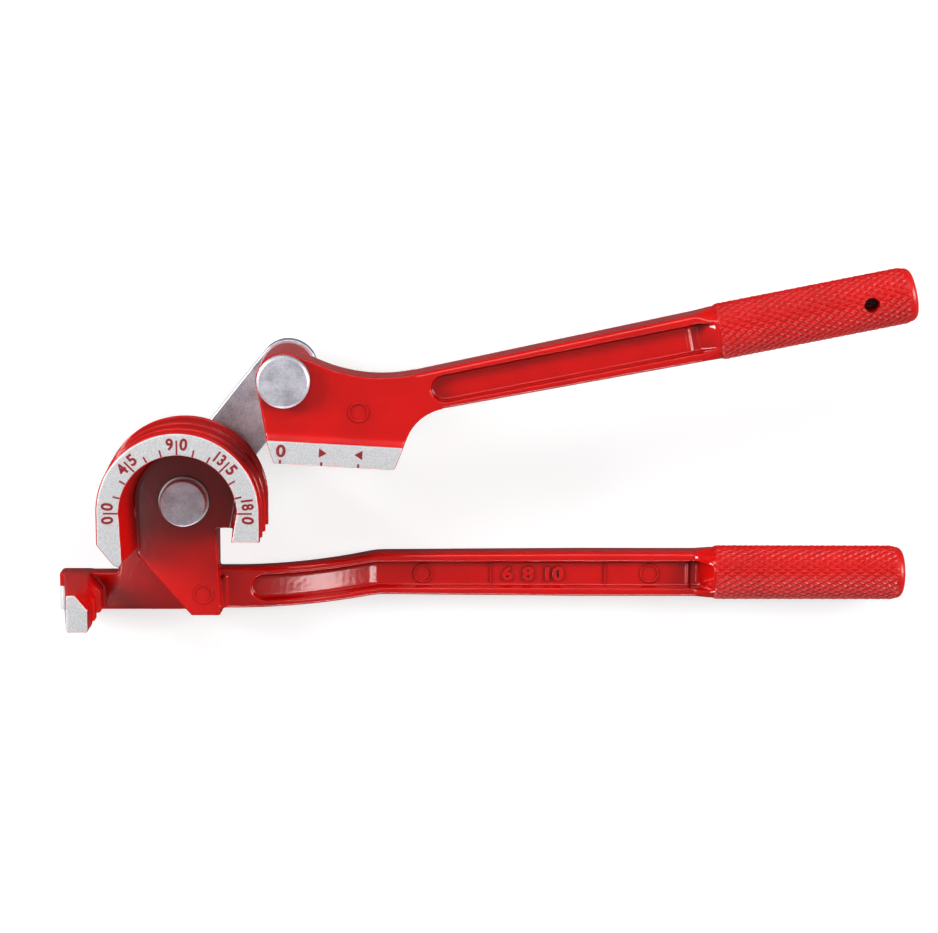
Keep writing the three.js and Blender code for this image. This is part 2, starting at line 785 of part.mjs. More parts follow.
const shoeGroup = new THREE.Group();
shoeGroup.position.set(pinDistance * Math.cos(linkAngle), pinDistance * Math.sin(linkAngle), 0);
group.add(shoeGroup);
addPiece(shoeGroup, 'shoe_pin', pinGeometry(shoeHeadRadius, shoeHeadBack, shoeHeadThick, shoeHeadChamfer), zincPlate);
addPiece(shoeGroup, 'shoe_pin_spacer_washer', washerGeometry(spacerRadius, spacerBack, spacerFront), brightSteel);
addPiece(shoeGroup, 'shoe_pin_tail_washer', washerGeometry(tailWasherRadius, tailWasherBack, tailWasherFront), brightSteel);
const upperCasting = addPiece(shoeGroup, 'upper_casting', upperCastingGeometry(), redPaint);
upperCasting.rotation.z = shoeAngle;

export default group;
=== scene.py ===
"""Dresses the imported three-size tube bender: enamelled castings, plated pins, scale, floor and lamps.

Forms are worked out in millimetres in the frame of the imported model, and turned into metres as meshes.
"""

import json
import math

import bpy
from mathutils import Matrix, Vector


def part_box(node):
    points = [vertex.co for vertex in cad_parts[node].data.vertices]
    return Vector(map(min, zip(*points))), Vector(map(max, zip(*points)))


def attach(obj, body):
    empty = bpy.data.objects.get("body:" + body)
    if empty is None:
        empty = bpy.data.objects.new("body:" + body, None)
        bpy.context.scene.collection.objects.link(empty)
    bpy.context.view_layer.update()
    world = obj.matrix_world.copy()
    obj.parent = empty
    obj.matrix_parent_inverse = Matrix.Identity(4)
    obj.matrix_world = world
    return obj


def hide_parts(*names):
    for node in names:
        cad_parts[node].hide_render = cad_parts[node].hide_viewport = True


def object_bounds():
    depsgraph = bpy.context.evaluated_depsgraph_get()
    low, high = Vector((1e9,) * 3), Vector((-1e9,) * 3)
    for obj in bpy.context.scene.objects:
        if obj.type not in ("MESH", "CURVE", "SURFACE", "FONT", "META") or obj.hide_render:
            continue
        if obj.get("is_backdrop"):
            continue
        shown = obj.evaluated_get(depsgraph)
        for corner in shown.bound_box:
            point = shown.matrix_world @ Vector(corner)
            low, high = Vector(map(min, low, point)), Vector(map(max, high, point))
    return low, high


bl_info = {
    "name": "Tube Bender Finish",
    "version": (1, 0, 0),
    "blender": (4, 5, 0),
    "location": "3D View > Sidebar > Tube Bender",
    "description": "Casts, paints and lights a three-size tube bender around its packed solids",
    "category": "Object",
}

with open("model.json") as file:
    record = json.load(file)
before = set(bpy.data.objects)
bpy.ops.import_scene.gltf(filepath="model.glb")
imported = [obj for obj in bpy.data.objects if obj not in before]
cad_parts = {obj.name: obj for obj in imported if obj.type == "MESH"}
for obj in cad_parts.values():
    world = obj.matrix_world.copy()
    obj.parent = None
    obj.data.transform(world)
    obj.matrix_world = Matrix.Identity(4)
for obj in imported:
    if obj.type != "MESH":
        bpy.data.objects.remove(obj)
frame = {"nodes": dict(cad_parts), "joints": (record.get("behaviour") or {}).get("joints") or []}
CAD_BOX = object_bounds()
MM = 0.001


def box_mm(node):
    """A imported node's lowest and highest corner, in millimetres."""
    low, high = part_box(node)
    return Vector(low) / MM, Vector(high) / MM


def joint_place(name):
    """The point that a joint turns about, in millimetres."""
    for joint in frame["joints"]:
        if joint["name"] == name:
            return Vector(joint["pos_m"]) / MM
    raise ValueError(name)


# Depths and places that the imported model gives
CASTING_FRONT = box_mm("lower_casting")[1].z
CASTING_BACK = box_mm("upper_casting")[0].z
SHOE_PIVOT = joint_place("shoe_swing")
SHOE_PIVOT.z = 0
PIN_DISTANCE = SHOE_PIVOT.length
SHOE_ANGLE = math.radians(-3.1)

# Tubes that the tool bends, from the front lane to the back lane
TUBE_DIAMETERS = (6, 8, 10)
FLANGE_WIDTH = 1.5

# Forming die
DIE_RADIUS = 25.1
DIE_DRAFT = math.radians(2)
RING_WALL = 7.1
RECESS_DRAFT = math.radians(4.9)
RECESS_SHIFT = 0.65
FLOOR_THICK = 8.8
RIGHT_LEG_LENGTH = 9.1
RIGHT_LEG_LEAN = 1.7
LEFT_LEG_LENGTH = 17.1
LEFT_LEG_LEAN = 0.8
LEFT_CUT_START = 9.9
LEFT_TIP_OUTER = 20
LEFT_TIP_SHOULDER = 16.3
LEFT_TIP_INNER = 18.2
LEFT_TIP_RELIEF = 1.7
DIE_EDGE = 0.35

# Web and arm
WEB_RIGHT = 9.8
WEB_RIGHT_LEAN = 1.2
WEB_FLOOR_DROP = 8.7
WEB_LEFT_DROP = 17.4
WEB_TIP = 1.9
WEB_BOTTOM = 37.1
WEB_DRAFT = 0.2
FOOT_REACH = 1.2
FOOT_INSET = 1
ARM_DROP = 32
ARM_HEIGHT = 12.1
ARM_SET_BACK = 3.6
ARM_RISE = 12.2
ARM_RISE_LEFT = 22.5

# Fixed hook
HOOK_CLEARANCE = 3
HOOK_LEFT_FRONT = 34.8
HOOK_LEFT_BACK = 41.5
HOOK_TOP_FRONT = 25.6
HOOK_TOP_BACK = 25.85
HOOK_SHOULDER = 30.3
HOOK_FACET_WIDE = 3.9
HOOK_FACET_TALL = 4.7
HOOK_BOTTOM_FRONT = 37.6
HOOK_WALL_DRAFT = 0.6
HOOK_ROUND = 0.9

# Both handles
GRIP_RADIUS = 8.7
GRIP_LENGTH = 61.4
GRIP_END_ROUND = 2.2
GRIP_CORE_DROP = 0.45
GRIP_NECK = 7
BAR_EDGE = 1.6
CHANNEL_FLOOR_ROUND = 0.8
CHANNEL_WALL_SLOPE = 0.8
RAMP_END = 0.3
RAMP_CROWN = 1.1
POCKET_LENGTH = 2.6
POCKET_STEP = 0.3
RIDGE_WIDTH = 1
RAMP_RUN_OUT = 1

# Knurl
KNURL_COLUMNS = 10
KNURL_ROWS = 14
KNURL_PROUD_SHARE = 0.12
KNURL_FLANK_SHARE = 1.25
KNURL_FADE_NECK = 0.8
KNURL_FADE_END = 1.2
SLEEVE_TUCK = 0.1
SLEEVE_TUCK_SHARE = 0.93
HOLE_EDGE = 0.35

# Lower handle
LOWER_BAR_HEIGHT = 13.5
LOWER_BAR_HEIGHT_END = 14.5
LOWER_BAR_FLARE = 62
LOWER_BAR_THICK = 9.7
LOWER_ROOT_DROP = 31
LOWER_CRANK_START = 14
LOWER_CRANK_LENGTH = 49
LOWER_CRANK_UP = 5.2
LOWER_GRIP_START = 169.3
LOWER_GRIP_RISE = 0.65
LOWER_CHANNEL_START = 20
LOWER_CHANNEL_HEIGHT = 8.7
LOWER_CHANNEL_HEIGHT_END = 9.2
LOWER_CHANNEL_DEPTH = 2.2
LOWER_RAMP_LENGTH = 4.9
CRANK_EASE_IN = 0.9
CRANK_EASE_OUT = 0.1
SHOE_RUNNING_GAP = 0.6

# Forming shoe, in its own frame round the shoe pin
SHOE_FACE = 25.5
SHOE_FACE_LEFT = 1.8
SHOE_FACE_RIGHT = 35.3
SHOE_STRIP_TOP = 18.6
SHOE_STRIP_LEFT = 4.4
SHOE_STRIP_RIGHT = 37.6
SHOE_STRIP_RAISE = 1.4
STRIP_SLOPE = 2.8
STRIP_SINK = 0.1
SHOE_CORNER_ROUND = 1.5
SHOE_BLOCK_TOP = 14.5
SHOE_BLOCK_ROUND = 1.6
SHOE_RIB_RIGHT = 7
EYE_RADIUS = 8.6
ROOT_DIP = 2.45
ROOT_RADIUS = 48
ROOT_END = 9
THROAT_RADIUS = 14.5

# Upper handle, along its own axis from the shoe pin
UPPER_AXIS_ANGLE = math.radians(14.5)
UPPER_AXIS_OFFSET = -11.95
UPPER_BAR_START = 40
UPPER_BAR_HEIGHT = 12.05
UPPER_BAR_HEIGHT_END = 14.9
UPPER_BAR_THICK = 14.1
UPPER_GRIP_START = 133.3
UPPER_CHANNEL_START = 43.5
UPPER_CHANNEL_HEIGHT = 8.7
UPPER_CHANNEL_HEIGHT_END = 9.4
UPPER_CHANNEL_DEPTH = 2.8
UPPER_RAMP_LENGTH = 6.3
GRIP_HOLE_RADIUS = 2.2
GRIP_HOLE_DEPTH = 4
GRIP_HOLE_FROM_END = 14.5

# Pins and link
BORE_RADIUS = 5.25
PIN_RADIUS = 5
TAIL_RADIUS = 7.5
TAIL_THICK = 3.8
TAIL_CHAMFER = 0.8
MAIN_HEAD_RADIUS = 7.3
MAIN_HEAD_THICK = 4
MAIN_HEAD_CHAMFER = 0.3
SHOE_HEAD_RADIUS = 8.1
SHOE_HEAD_THICK = 3.4
SHOE_HEAD_CHAMFER = 0.6
LINK_END_RADIUS = 9.2
LINK_EDGE = 0.5
HEAD_ROUND = 0.25

# Cast marks: the rings of ejector pins, and two bars and three figures in the lower channel
EJECTOR_RADIUS = 2.85
EJECTOR_WIRE = 0.45
WEB_EJECTOR = (5.7, -30.1)
SHOE_EJECTOR = (23.3, -8.4)
CHANNEL_EJECTORS = (75.5, 148.8)
CAST_DEPTH = 0.3
CAST_BARS = (97.4, 134.3)
CAST_BAR_LENGTH = 6.6
CAST_BAR_WIDTH = 0.5
CAST_BAR_RELIEF = 0.4
CAST_FIGURES = (("6", 102.8), ("8", 109.5), ("10", 118))
CAST_FIGURE_HEIGHT = 4.8
CAST_FIGURE_RELIEF = 0.6
CAST_FIGURE_BEVEL = 0.05

# Engraved marks: the degree scale on the die, and the stops on the shoe
ENGRAVED_DEPTH = 0.3
PAINT_PROUD = 0.02
SCALE_STEP = 15
SCALE_FIGURES = {180: ("0", "0"), 135: ("4", "5"), 90: ("9", "0"), 45: ("13", "5"), 0: ("18", "0")}
SCALE_GAP = 0.25
SCALE_LONG = 4.5
SCALE_SHORT = 2.1
SCALE_WIDTH = 0.55
FIGURE_RADIUS = 21.6
FIGURE_HEIGHT = 3.8
FIGURE_TURN = 0.098
FIGURE_TURN_WIDE = 0.128
FIGURE_WEIGHT = 0.035
FIGURE_SQUEEZE = 0.95
PAIR_SQUEEZE = 0.8
WIDE_SQUEEZE = 1.15
STOP_PLACES = (0.2, 12.8, 24.1)
STOP_DROP = 24.75
STOP_LENGTH = 1.1
STOP_WIDTH = 0.7
STOP_ZERO = (0.3, -21.4)
STOP_ZERO_HEIGHT = 3.9
ARROW_PLACES = ((13, 1), (24.1, -1))
ARROW_DROP = 21.4
ARROW_BACK = 1.1
ARROW_TIP = 1.3
ARROW_HALF = 1.5

# Counts of facets
CIRCLE_STEPS = 240
GROOVE_STEPS = 24
CORNER_STEPS = 12
ROUND_STEPS = 8
ARC_STEPS = 32
SPAN_STEPS = 60
NECK_STEPS = 16
EDGE_STEPS = 4
LINK_EDGE_STEPS = 5
WIRE_STEPS = 8
EJECTOR_STEPS = 48
CAST_CREASE = math.radians(60)
SLEEVE_CREASE = math.radians(35)
METAL_CREASE = math.radians(30)

# Enamel: drift and peel in bumps to the metre, the red's tones where the coat drifts, and the reach and tones
# of the painted shade in recesses
COAT_DRIFT = 80
COAT_DRIFT_TONE = 0.86
COAT_DRIFT_SPAN = (0.3, 0.7)
COAT_PEEL = 700
PAINTED_SHADE_REACH = 16
PAINTED_SHADE_TONES = (0.25, 1.04)
PAINTED_SHADE_SPAN = (0.25, 0.9)
COAT_RELIEF = 0.35
COAT_INDEX = 1.5
COAT_ROUGHNESS = 0.085
GRIP_ROUGHNESS = 0.34

# Milled faces: speckle and arcs in marks to the metre, round the centre of the cutter
MILLED_EDGE = 0.12
MILLED_SPECKLE = 3300
MILLED_ARCS = 320
MILLED_ARC_SHARE = 0.35
MILLED_TONE = 0.6
MILLED_SPAN = (0.25, 0.6)
MILLED_ROUGHNESS = 0.6
CUTTER_CENTRE = (-60, -90)

# Zinc: crystals to the metre and roughness of each finish, and what all of them share
PIN_ZINC = (2200, 0.55)
LINK_ZINC = (1500, 0.42)
WASHER_ZINC = (2500, 0.3)
ZINC_MARKS = 160
ZINC_SPAN = (0.38, 0.62)
ZINC_ROUGHNESS_SWING = 0.1
ZINC_RELIEF = 0.3
RELIEF_DEPTH = 0.03

# Paint in the engraved marks, and the paper floor
PAINT_PATCHES = 1500
PAINT_TONES = (0.8, 1.25)
PAINT_ROUGHNESS = 0.5
PAPER_TONE = 0.42
CARD_TONES = (0.3, 0.12)

# Lamps: name, place and size in metres, and share of the softbox's power
LAMP_TARGET = (0.04, 0, 0.02)
LAMPS = (
    ("left_softbox", (-1.15, 0.45, 0.62), (0.6, 0.45), 1),
    ("right_softbox", (1.3, 0.3, 0.66), (0.6, 0.45), 0.9),
    ("top_strip", (0.05, 1, 0.75), (1.2, 0.25), 0.22),
    ("low_front", (0.1, -1.2, 0.1), (1, 0.16), 0.35),
    ("window", (-1.1, -1.33, 6), (0.26, 0.6), 0.3),
)

# Floor and camera
FLOOR_DROP = 0.05
CAMERA_PLACE = (70.228, 136.549, 740.438)
CAMERA_TURN = (0.1721, 0.0268, -0.0024)
CAMERA_LENS = 89.02
CAMERA_SENSOR = 36
CAMERA_NEAR = 10

# Depths that follow
FLOOR_FRONT = CASTING_BACK + FLOOR_THICK
PLATE_FRONT = CASTING_FRONT - SHOE_STRIP_RAISE
PLATE_BACK = PLATE_FRONT - UPPER_BAR_THICK
ARM_FRONT = CASTING_BACK - ARM_SET_BACK
LOWER_BAR_FRONT = CASTING_BACK - SHOE_RUNNING_GAP
LOWER_BAR_BACK = LOWER_BAR_FRONT - LOWER_BAR_THICK
RECESS_RADIUS = DIE_RADIUS - RING_WALL
GRIP_CORE = GRIP_RADIUS - GRIP_CORE_DROP
UPPER_GRIP_Z = CASTING_FRONT - GRIP_RADIUS
HOOK_WALL = DIE_RADIUS + HOOK_CLEARANCE
ARM_TOP = ARM_DROP - ARM_HEIGHT / 2
ARM_BOTTOM = ARM_DROP + ARM_HEIGHT / 2

# How far cutters stand out, and how far fused parts overlap
OVERRUN = 5
SEAM = 0.35


# Meshes


def linked(name, data):
    """A new object of some data, in the scene."""
    made = bpy.data.objects.new(name, data)
    bpy.context.scene.collection.objects.link(made)
    return made


def mesh_object(name, points, faces, matrix=None):
    """A mesh object at the origin from points in millimetres."""
    mesh = bpy.data.meshes.new(name)
    placed = [matrix @ Vector(point) if matrix else Vector(point) for point in points]
    mesh.from_pydata([point * MM for point in placed], [], faces)
    mesh.validate()
    return linked(name, mesh)


def loft(name, rings, matrix=None, hoop=False):
    """Joins rings that have as many points each. A hoop joins its ends, and any other loft closes them."""
    count = len(rings[0])
    points = [point for ring in rings for point in ring]
    faces = []
    for row in range(len(rings) if hoop else len(rings) - 1):
        start = row * count
        onward = (start + count) % len(points)
        for column in range(count):
            after = (column + 1) % count
            faces.append((start + column, start + after, onward + after, onward + column))
    if not hoop:
        faces.append(tuple(reversed(range(count))))
        faces.append(tuple(range(len(points) - count, len(points))))
    return mesh_object(name, points, faces, matrix)


def at_depth(outline, z):
    """A flat outline's points at one depth."""
    return [(x, y, z) for x, y in outline]


def prism(name, outline, back, front):
    """A straight solid over a flat outline."""
    return loft(name, [at_depth(outline, back), at_depth(outline, front)])


def arc(centre_x, centre_y, radius, start, end, steps):
    """Points along an arc, both ends included."""
    points = []
    for step in range(steps + 1):
        angle = start + (end - start) * step / steps
        points.append((centre_x + radius * math.cos(angle), centre_y + radius * math.sin(angle)))
    return points


def circle(centre_x, centre_y, radius, steps):
    """Points round a whole circle."""
    return arc(centre_x, centre_y, radius, 0, 2 * math.pi, steps)[:-1]


def disc(name, radius, back, front, x=0):
    """A round solid along Z."""
    return prism(name, circle(x, 0, radius, CIRCLE_STEPS // 2), back, front)


def bore(back, front, x=0):
    """A cutter for a pin's bore."""
    return disc("bore", BORE_RADIUS, back - OVERRUN, front + OVERRUN, x)


def rod(name, radius, centre, length, along_x):
    """A round solid along X or Y, used to cut a groove."""
    rings = []
    for place in (-length / 2, length / 2):
        ring = circle(0, 0, radius, 4 * GROOVE_STEPS)
        if along_x:
            rings.append([(centre[0] + place, centre[1] + a, centre[2] + b) for a, b in ring])
        else:
            rings.append([(centre[0] + b, centre[1] + place, centre[2] + a) for a, b in ring])
    return loft(name, rings)


def revolve(name, profile, matrix=None):
    """Turns a profile of radius and depth pairs, which starts and ends on the axis, about Z."""
    steps = CIRCLE_STEPS // 2
    points = [(0, 0, profile[0][1])]
    faces = []
    inner = profile[1:-1]
    for radius, z in inner:
        points += at_depth(circle(0, 0, radius, steps), z)
    points.append((0, 0, profile[-1][1]))
    for column in range(steps):
        after = (column + 1) % steps
        faces.append((0, 1 + after, 1 + column))
        for row in range(len(inner) - 1):
            start = 1 + row * steps
            faces.append((start + column, start + after, start + steps + after, start + steps + column))
        last = 1 + (len(inner) - 1) * steps
        faces.append((last + column, last + after, len(points) - 1))
    return mesh_object(name, points, faces, matrix)


def evaluated_mesh(made):
    """A new mesh of what an object comes to, with its modifiers."""
    bpy.context.view_layer.update()
    return bpy.data.meshes.new_from_object(made.evaluated_get(bpy.context.evaluated_depsgraph_get()))


def apply_modifiers(made):
    """Bakes an object's modifiers into its mesh."""
    baked = evaluated_mesh(made)
    made.modifiers.clear()
    made.data = baked


def cut(target, cutters):
    """Takes the cutters out of the target and removes them."""
    for cutter in cutters:
        modifier = target.modifiers.new("cut", "BOOLEAN")
        modifier.operation = "DIFFERENCE"
        modifier.solver = "EXACT"
        modifier.object = cutter
    apply_modifiers(target)
    for cutter in cutters:
        bpy.data.objects.remove(cutter)
    return target


def merge(made, others):
    """Adds the others' meshes to one object and removes them."""
    with bpy.context.temp_override(active_object=made, selected_editable_objects=[made, *others]):
        bpy.ops.object.join()
    return made


def fuse(shells, voxel, passes):
    """Makes one skin from closed shells that overlap, and rounds its edges as a casting's are."""
    made = merge(shells[0], shells[1:])
    remesh = made.modifiers.new("skin", "REMESH")
    remesh.mode = "VOXEL"
    remesh.voxel_size = voxel
    remesh.use_smooth_shade = True
    smooth = made.modifiers.new("cast edges", "SMOOTH")
    smooth.factor = 0.5
    smooth.iterations = passes
    apply_modifiers(made)
    return made


def shade(made, angle):
    """Smooth shading that keeps edges sharper than the angle."""
    made.data.set_sharp_from_angle(angle=angle)
    for polygon in made.data.polygons:
        polygon.use_smooth = True


def eased_ramp(share, ease_in, ease_out):
    """A ramp from 0 to 1 with round ends."""
    slope = 1 / (1 - ease_in / 2 - ease_out / 2)
    s = min(max(share, 0), 1)
    if s < ease_in:
        return slope * s * s / (2 * ease_in)
    if s < 1 - ease_out:
        return slope * (s - ease_in / 2)
    return 1 - slope * (1 - s) ** 2 / (2 * ease_out)


def mix(low, high, share):
    """A value between two others."""
    return low + (high - low) * share


def smooth_step(share):
    """A share from 0 to 1 with flat ends."""
    s = min(max(share, 0), 1)
    return s * s * (3 - 2 * s)


def spread(start, end, steps):
    """Evenly spread places, both ends included."""
    return [mix(start, end, step / steps) for step in range(steps + 1)]


def span(values):
    """The least and the greatest of some values."""
    listed = list(values)
    return min(listed), max(listed)


# Forming die


def die_radius_at(z):
    """The die's flange radius at one depth."""
    return DIE_RADIUS + (CASTING_FRONT - z) * math.tan(DIE_DRAFT)


def recess_radius_at(z):
    """The recess wall's radius at one depth."""
    return RECESS_RADIUS - (CASTING_FRONT - z) * math.tan(RECESS_DRAFT)


def tube_lanes():
    """Radius, depth of the centre and bend radius of each tube's lane."""
    lanes = []
    front = CASTING_FRONT
    for tube in TUBE_DIAMETERS:
        front -= FLANGE_WIDTH
        centre = front - tube / 2
        lanes.append((tube / 2, centre, die_radius_at(centre)))
        front -= tube
    return lanes


LANES = tube_lanes()
WEB_LEFT = recess_radius_at(FLOOR_FRONT) - RECESS_SHIFT - LEFT_LEG_LEAN + SEAM


def die_section(lean, shift):
    """The die's section, with one half-round groove for each lane."""
    inner = recess_radius_at(FLOOR_FRONT) + shift - lean
    back_radius = die_radius_at(CASTING_BACK)
    points = [
        (RECESS_RADIUS - lean, CASTING_FRONT),
        (inner, FLOOR_FRONT),
        (inner, CASTING_BACK),
        (back_radius - DIE_EDGE, CASTING_BACK),
        (back_radius, CASTING_BACK + DIE_EDGE),
    ]
    for radius, centre, bend in reversed(LANES):
        points += arc(bend, centre, radius, -math.pi / 2, -1.5 * math.pi, GROOVE_STEPS)
    points += [(DIE_RADIUS, CASTING_FRONT - DIE_EDGE), (DIE_RADIUS - DIE_EDGE, CASTING_FRONT)]
    return points


def die():
    """One sweep up the left leg, over the half circle and down the right leg, with the left tip cut."""
    places = [(math.pi, LEFT_LEG_LENGTH, LEFT_LEG_LEAN)]
    places += [(angle, 0, 0) for angle in spread(math.pi, 0, CIRCLE_STEPS // 2)]
    places += [(0, RIGHT_LEG_LENGTH, RIGHT_LEG_LEAN)]
    rings = []
    for angle, drop, lean in places:
        section = die_section(lean, RECESS_SHIFT * math.cos(angle))
        rings.append([(r * math.cos(angle), r * math.sin(angle) - drop, z) for r, z in section])
    slope = (LEFT_TIP_SHOULDER - LEFT_CUT_START) / (DIE_RADIUS - LEFT_TIP_OUTER)
    side = die_radius_at(CASTING_BACK) + OVERRUN
    foot = LEFT_LEG_LENGTH + OVERRUN
    bevels = prism("bevels", [
        (-side, -LEFT_CUT_START + slope * (side - DIE_RADIUS)),
        (-side, -foot),
        (0, -foot),
        (0, -LEFT_LEG_LENGTH + LEFT_TIP_RELIEF),
        (-RECESS_RADIUS + LEFT_LEG_LEAN, -LEFT_LEG_LENGTH + LEFT_TIP_RELIEF),
        (-LEFT_TIP_INNER, -LEFT_LEG_LENGTH),
        (-LEFT_TIP_OUTER, -LEFT_TIP_SHOULDER),
    ], CASTING_BACK - OVERRUN, CASTING_FRONT + OVERRUN)
    return cut(loft("die", rings), [bevels])


def web_outline(grow):
    """The recess floor and the web below it."""
    radius = recess_radius_at(FLOOR_FRONT) + SEAM
    leg_lean = RIGHT_LEG_LEAN * WEB_FLOOR_DROP / RIGHT_LEG_LENGTH
    start = [(RECESS_SHIFT + radius - leg_lean, -WEB_FLOOR_DROP)]
    return start + arc(RECESS_SHIFT, 0, radius, 0, math.pi, CIRCLE_STEPS // 2) + [
        (-WEB_LEFT - grow, -WEB_LEFT_DROP),
        (WEB_TIP - grow, -WEB_BOTTOM - grow),
        (WEB_RIGHT + WEB_RIGHT_LEAN + grow, -WEB_BOTTOM - grow),
        (WEB_RIGHT + grow, -WEB_FLOOR_DROP),
    ]


def web():
    """The web with the main pin's bore."""
    rings = [at_depth(web_outline(WEB_DRAFT), CASTING_BACK), at_depth(web_outline(0), FLOOR_FRONT)]
    return cut(loft("web", rings), [bore(CASTING_BACK, FLOOR_FRONT)])


def arm():
    """The arm from hook to handle, the neck that carries the web, and the foot beside the handle."""
    root_end = WEB_RIGHT + WEB_RIGHT_LEAN
    outline = [
        (-HOOK_LEFT_BACK, -ARM_BOTTOM),
        (root_end, -ARM_BOTTOM),
        (root_end, -ARM_TOP),
        (WEB_RIGHT, -ARM_TOP),
        (WEB_RIGHT, -ARM_RISE),
        (-ARM_RISE_LEFT, -ARM_RISE),
        (-ARM_RISE_LEFT, -ARM_TOP),
        (-HOOK_LEFT_BACK, -ARM_TOP),
    ]
    neck = [
        (WEB_TIP, -ARM_BOTTOM),
        (root_end, -ARM_BOTTOM),
        (WEB_RIGHT, -ARM_TOP),
        (WEB_RIGHT, -ARM_RISE),
        (-WEB_LEFT, -ARM_RISE),
        (-WEB_LEFT, -WEB_LEFT_DROP),
    ]
    foot = [
        (root_end - SEAM, -ARM_BOTTOM + FOOT_INSET),
        (root_end + FOOT_REACH, -ARM_BOTTOM + FOOT_INSET),
        (root_end + FOOT_REACH, -ARM_TOP - FOOT_INSET),
        (root_end - SEAM, -ARM_TOP - FOOT_INSET),
    ]
    return [
        prism("arm", outline, 0, ARM_FRONT),
        prism("neck", neck, ARM_FRONT - SEAM, CASTING_BACK + SEAM),
        prism("foot", foot, FOOT_INSET, ARM_FRONT + FOOT_REACH),
    ]


def hook_outline(share):
    """The hook's outline: share 0 is its small front face, and share 1 its foot at the back of the arm."""
    left = mix(HOOK_LEFT_FRONT, HOOK_LEFT_BACK, share)
    top = mix(HOOK_TOP_FRONT, HOOK_TOP_BACK, share)
    bottom = mix(HOOK_BOTTOM_FRONT, ARM_BOTTOM, share)
    wall = HOOK_WALL - HOOK_WALL_DRAFT * share
    shoulder = HOOK_SHOULDER + (HOOK_WALL - wall) * HOOK_FACET_TALL / HOOK_FACET_WIDE
    facet_left = HOOK_WALL + (HOOK_SHOULDER - top) * HOOK_FACET_WIDE / HOOK_FACET_TALL
    turn = HOOK_ROUND
    return (
        arc(-left + turn, -bottom + turn, turn, math.pi, 1.5 * math.pi, ROUND_STEPS)
        + arc(-wall - turn, -bottom + turn, turn, -math.pi / 2, 0, ROUND_STEPS)
        + [(-wall, -shoulder), (-facet_left, -top)]
        + arc(-left + turn, -top - turn, turn, math.pi / 2, math.pi, ROUND_STEPS)
    )


def hook():
    """The fixed hook with a groove for each tube."""
    post = loft("hook", [at_depth(hook_outline(1), 0), at_depth(hook_outline(0), CASTING_FRONT)])
    tubes = [
        rod("tube", radius, (-bend, -LOWER_ROOT_DROP, centre), ARM_BOTTOM, False)
        for radius, centre, bend in LANES
    ]
    return cut(post, tubes)


# Handles


def bar_ring(x, centre_y, height, back, front, edge):
    """A rectangle with round corners across the X axis."""
    half = height / 2
    radius = min(edge, half, (front - back) / 2)
    corners = [
        (centre_y + half - radius, front - radius, 0),
        (centre_y - half + radius, front - radius, math.pi / 2),
        (centre_y - half + radius, back + radius, math.pi),
        (centre_y + half - radius, back + radius, 1.5 * math.pi),
    ]
    ring = []
    for y, z, start in corners:
        ring += [(x, a, b) for a, b in arc(y, z, radius, start, start + math.pi / 2, CORNER_STEPS)]
    return ring


def lower_bar_at(x):
    """Centre, height, back and front of the lower handle's bar."""
    ramp = eased_ramp((x - LOWER_CRANK_START) / LOWER_CRANK_LENGTH, CRANK_EASE_IN, CRANK_EASE_OUT)
    flare = min(max((x - LOWER_CRANK_START - LOWER_CRANK_LENGTH) / LOWER_BAR_FLARE, 0), 1)
    return (
        LOWER_CRANK_UP * ramp - LOWER_ROOT_DROP,
        mix(LOWER_BAR_HEIGHT, LOWER_BAR_HEIGHT_END, flare),
        LOWER_BAR_BACK * ramp,
        mix(ARM_FRONT, LOWER_BAR_FRONT, ramp),
    )


def upper_bar_at(x):
    """Centre, height, back and front of the upper handle's bar, in its own frame."""
    share = (x - UPPER_BAR_START) / (UPPER_GRIP_START - UPPER_BAR_START)
    return 0, mix(UPPER_BAR_HEIGHT, UPPER_BAR_HEIGHT_END, share), PLATE_BACK, PLATE_FRONT


def neck_ring(x, start, end, bar, rise, centre_z):
    """A ring where the bar swells to the round grip."""
    centre_y, height, back, front = bar
    swell = smooth_step((x - start) / (end - start))
    return bar_ring(
        x,
        centre_y + rise * swell,
        mix(height, 2 * GRIP_CORE, swell),
        mix(back, centre_z - GRIP_CORE, swell),
        mix(front, centre_z + GRIP_CORE, swell),
        mix(BAR_EDGE, GRIP_CORE, swell),
    )


def handle(name, start, bar_at, grip_start, rise, centre_z):
    """The bar, the neck and the grip's core in one loft along the X axis."""
    neck_start = grip_start - GRIP_NECK
    rings = [bar_ring(x, *bar_at(x), BAR_EDGE) for x in spread(start, neck_start, 2 * SPAN_STEPS)]
    end = bar_at(neck_start)
    for x in spread(neck_start, grip_start, NECK_STEPS)[1:]:
        rings.append(neck_ring(x, neck_start, grip_start, end, rise, centre_z))
    stop = grip_start + GRIP_LENGTH - GRIP_END_ROUND
    rings.append([(stop, y, z) for _, y, z in rings[-1]])
    return loft(name, rings)


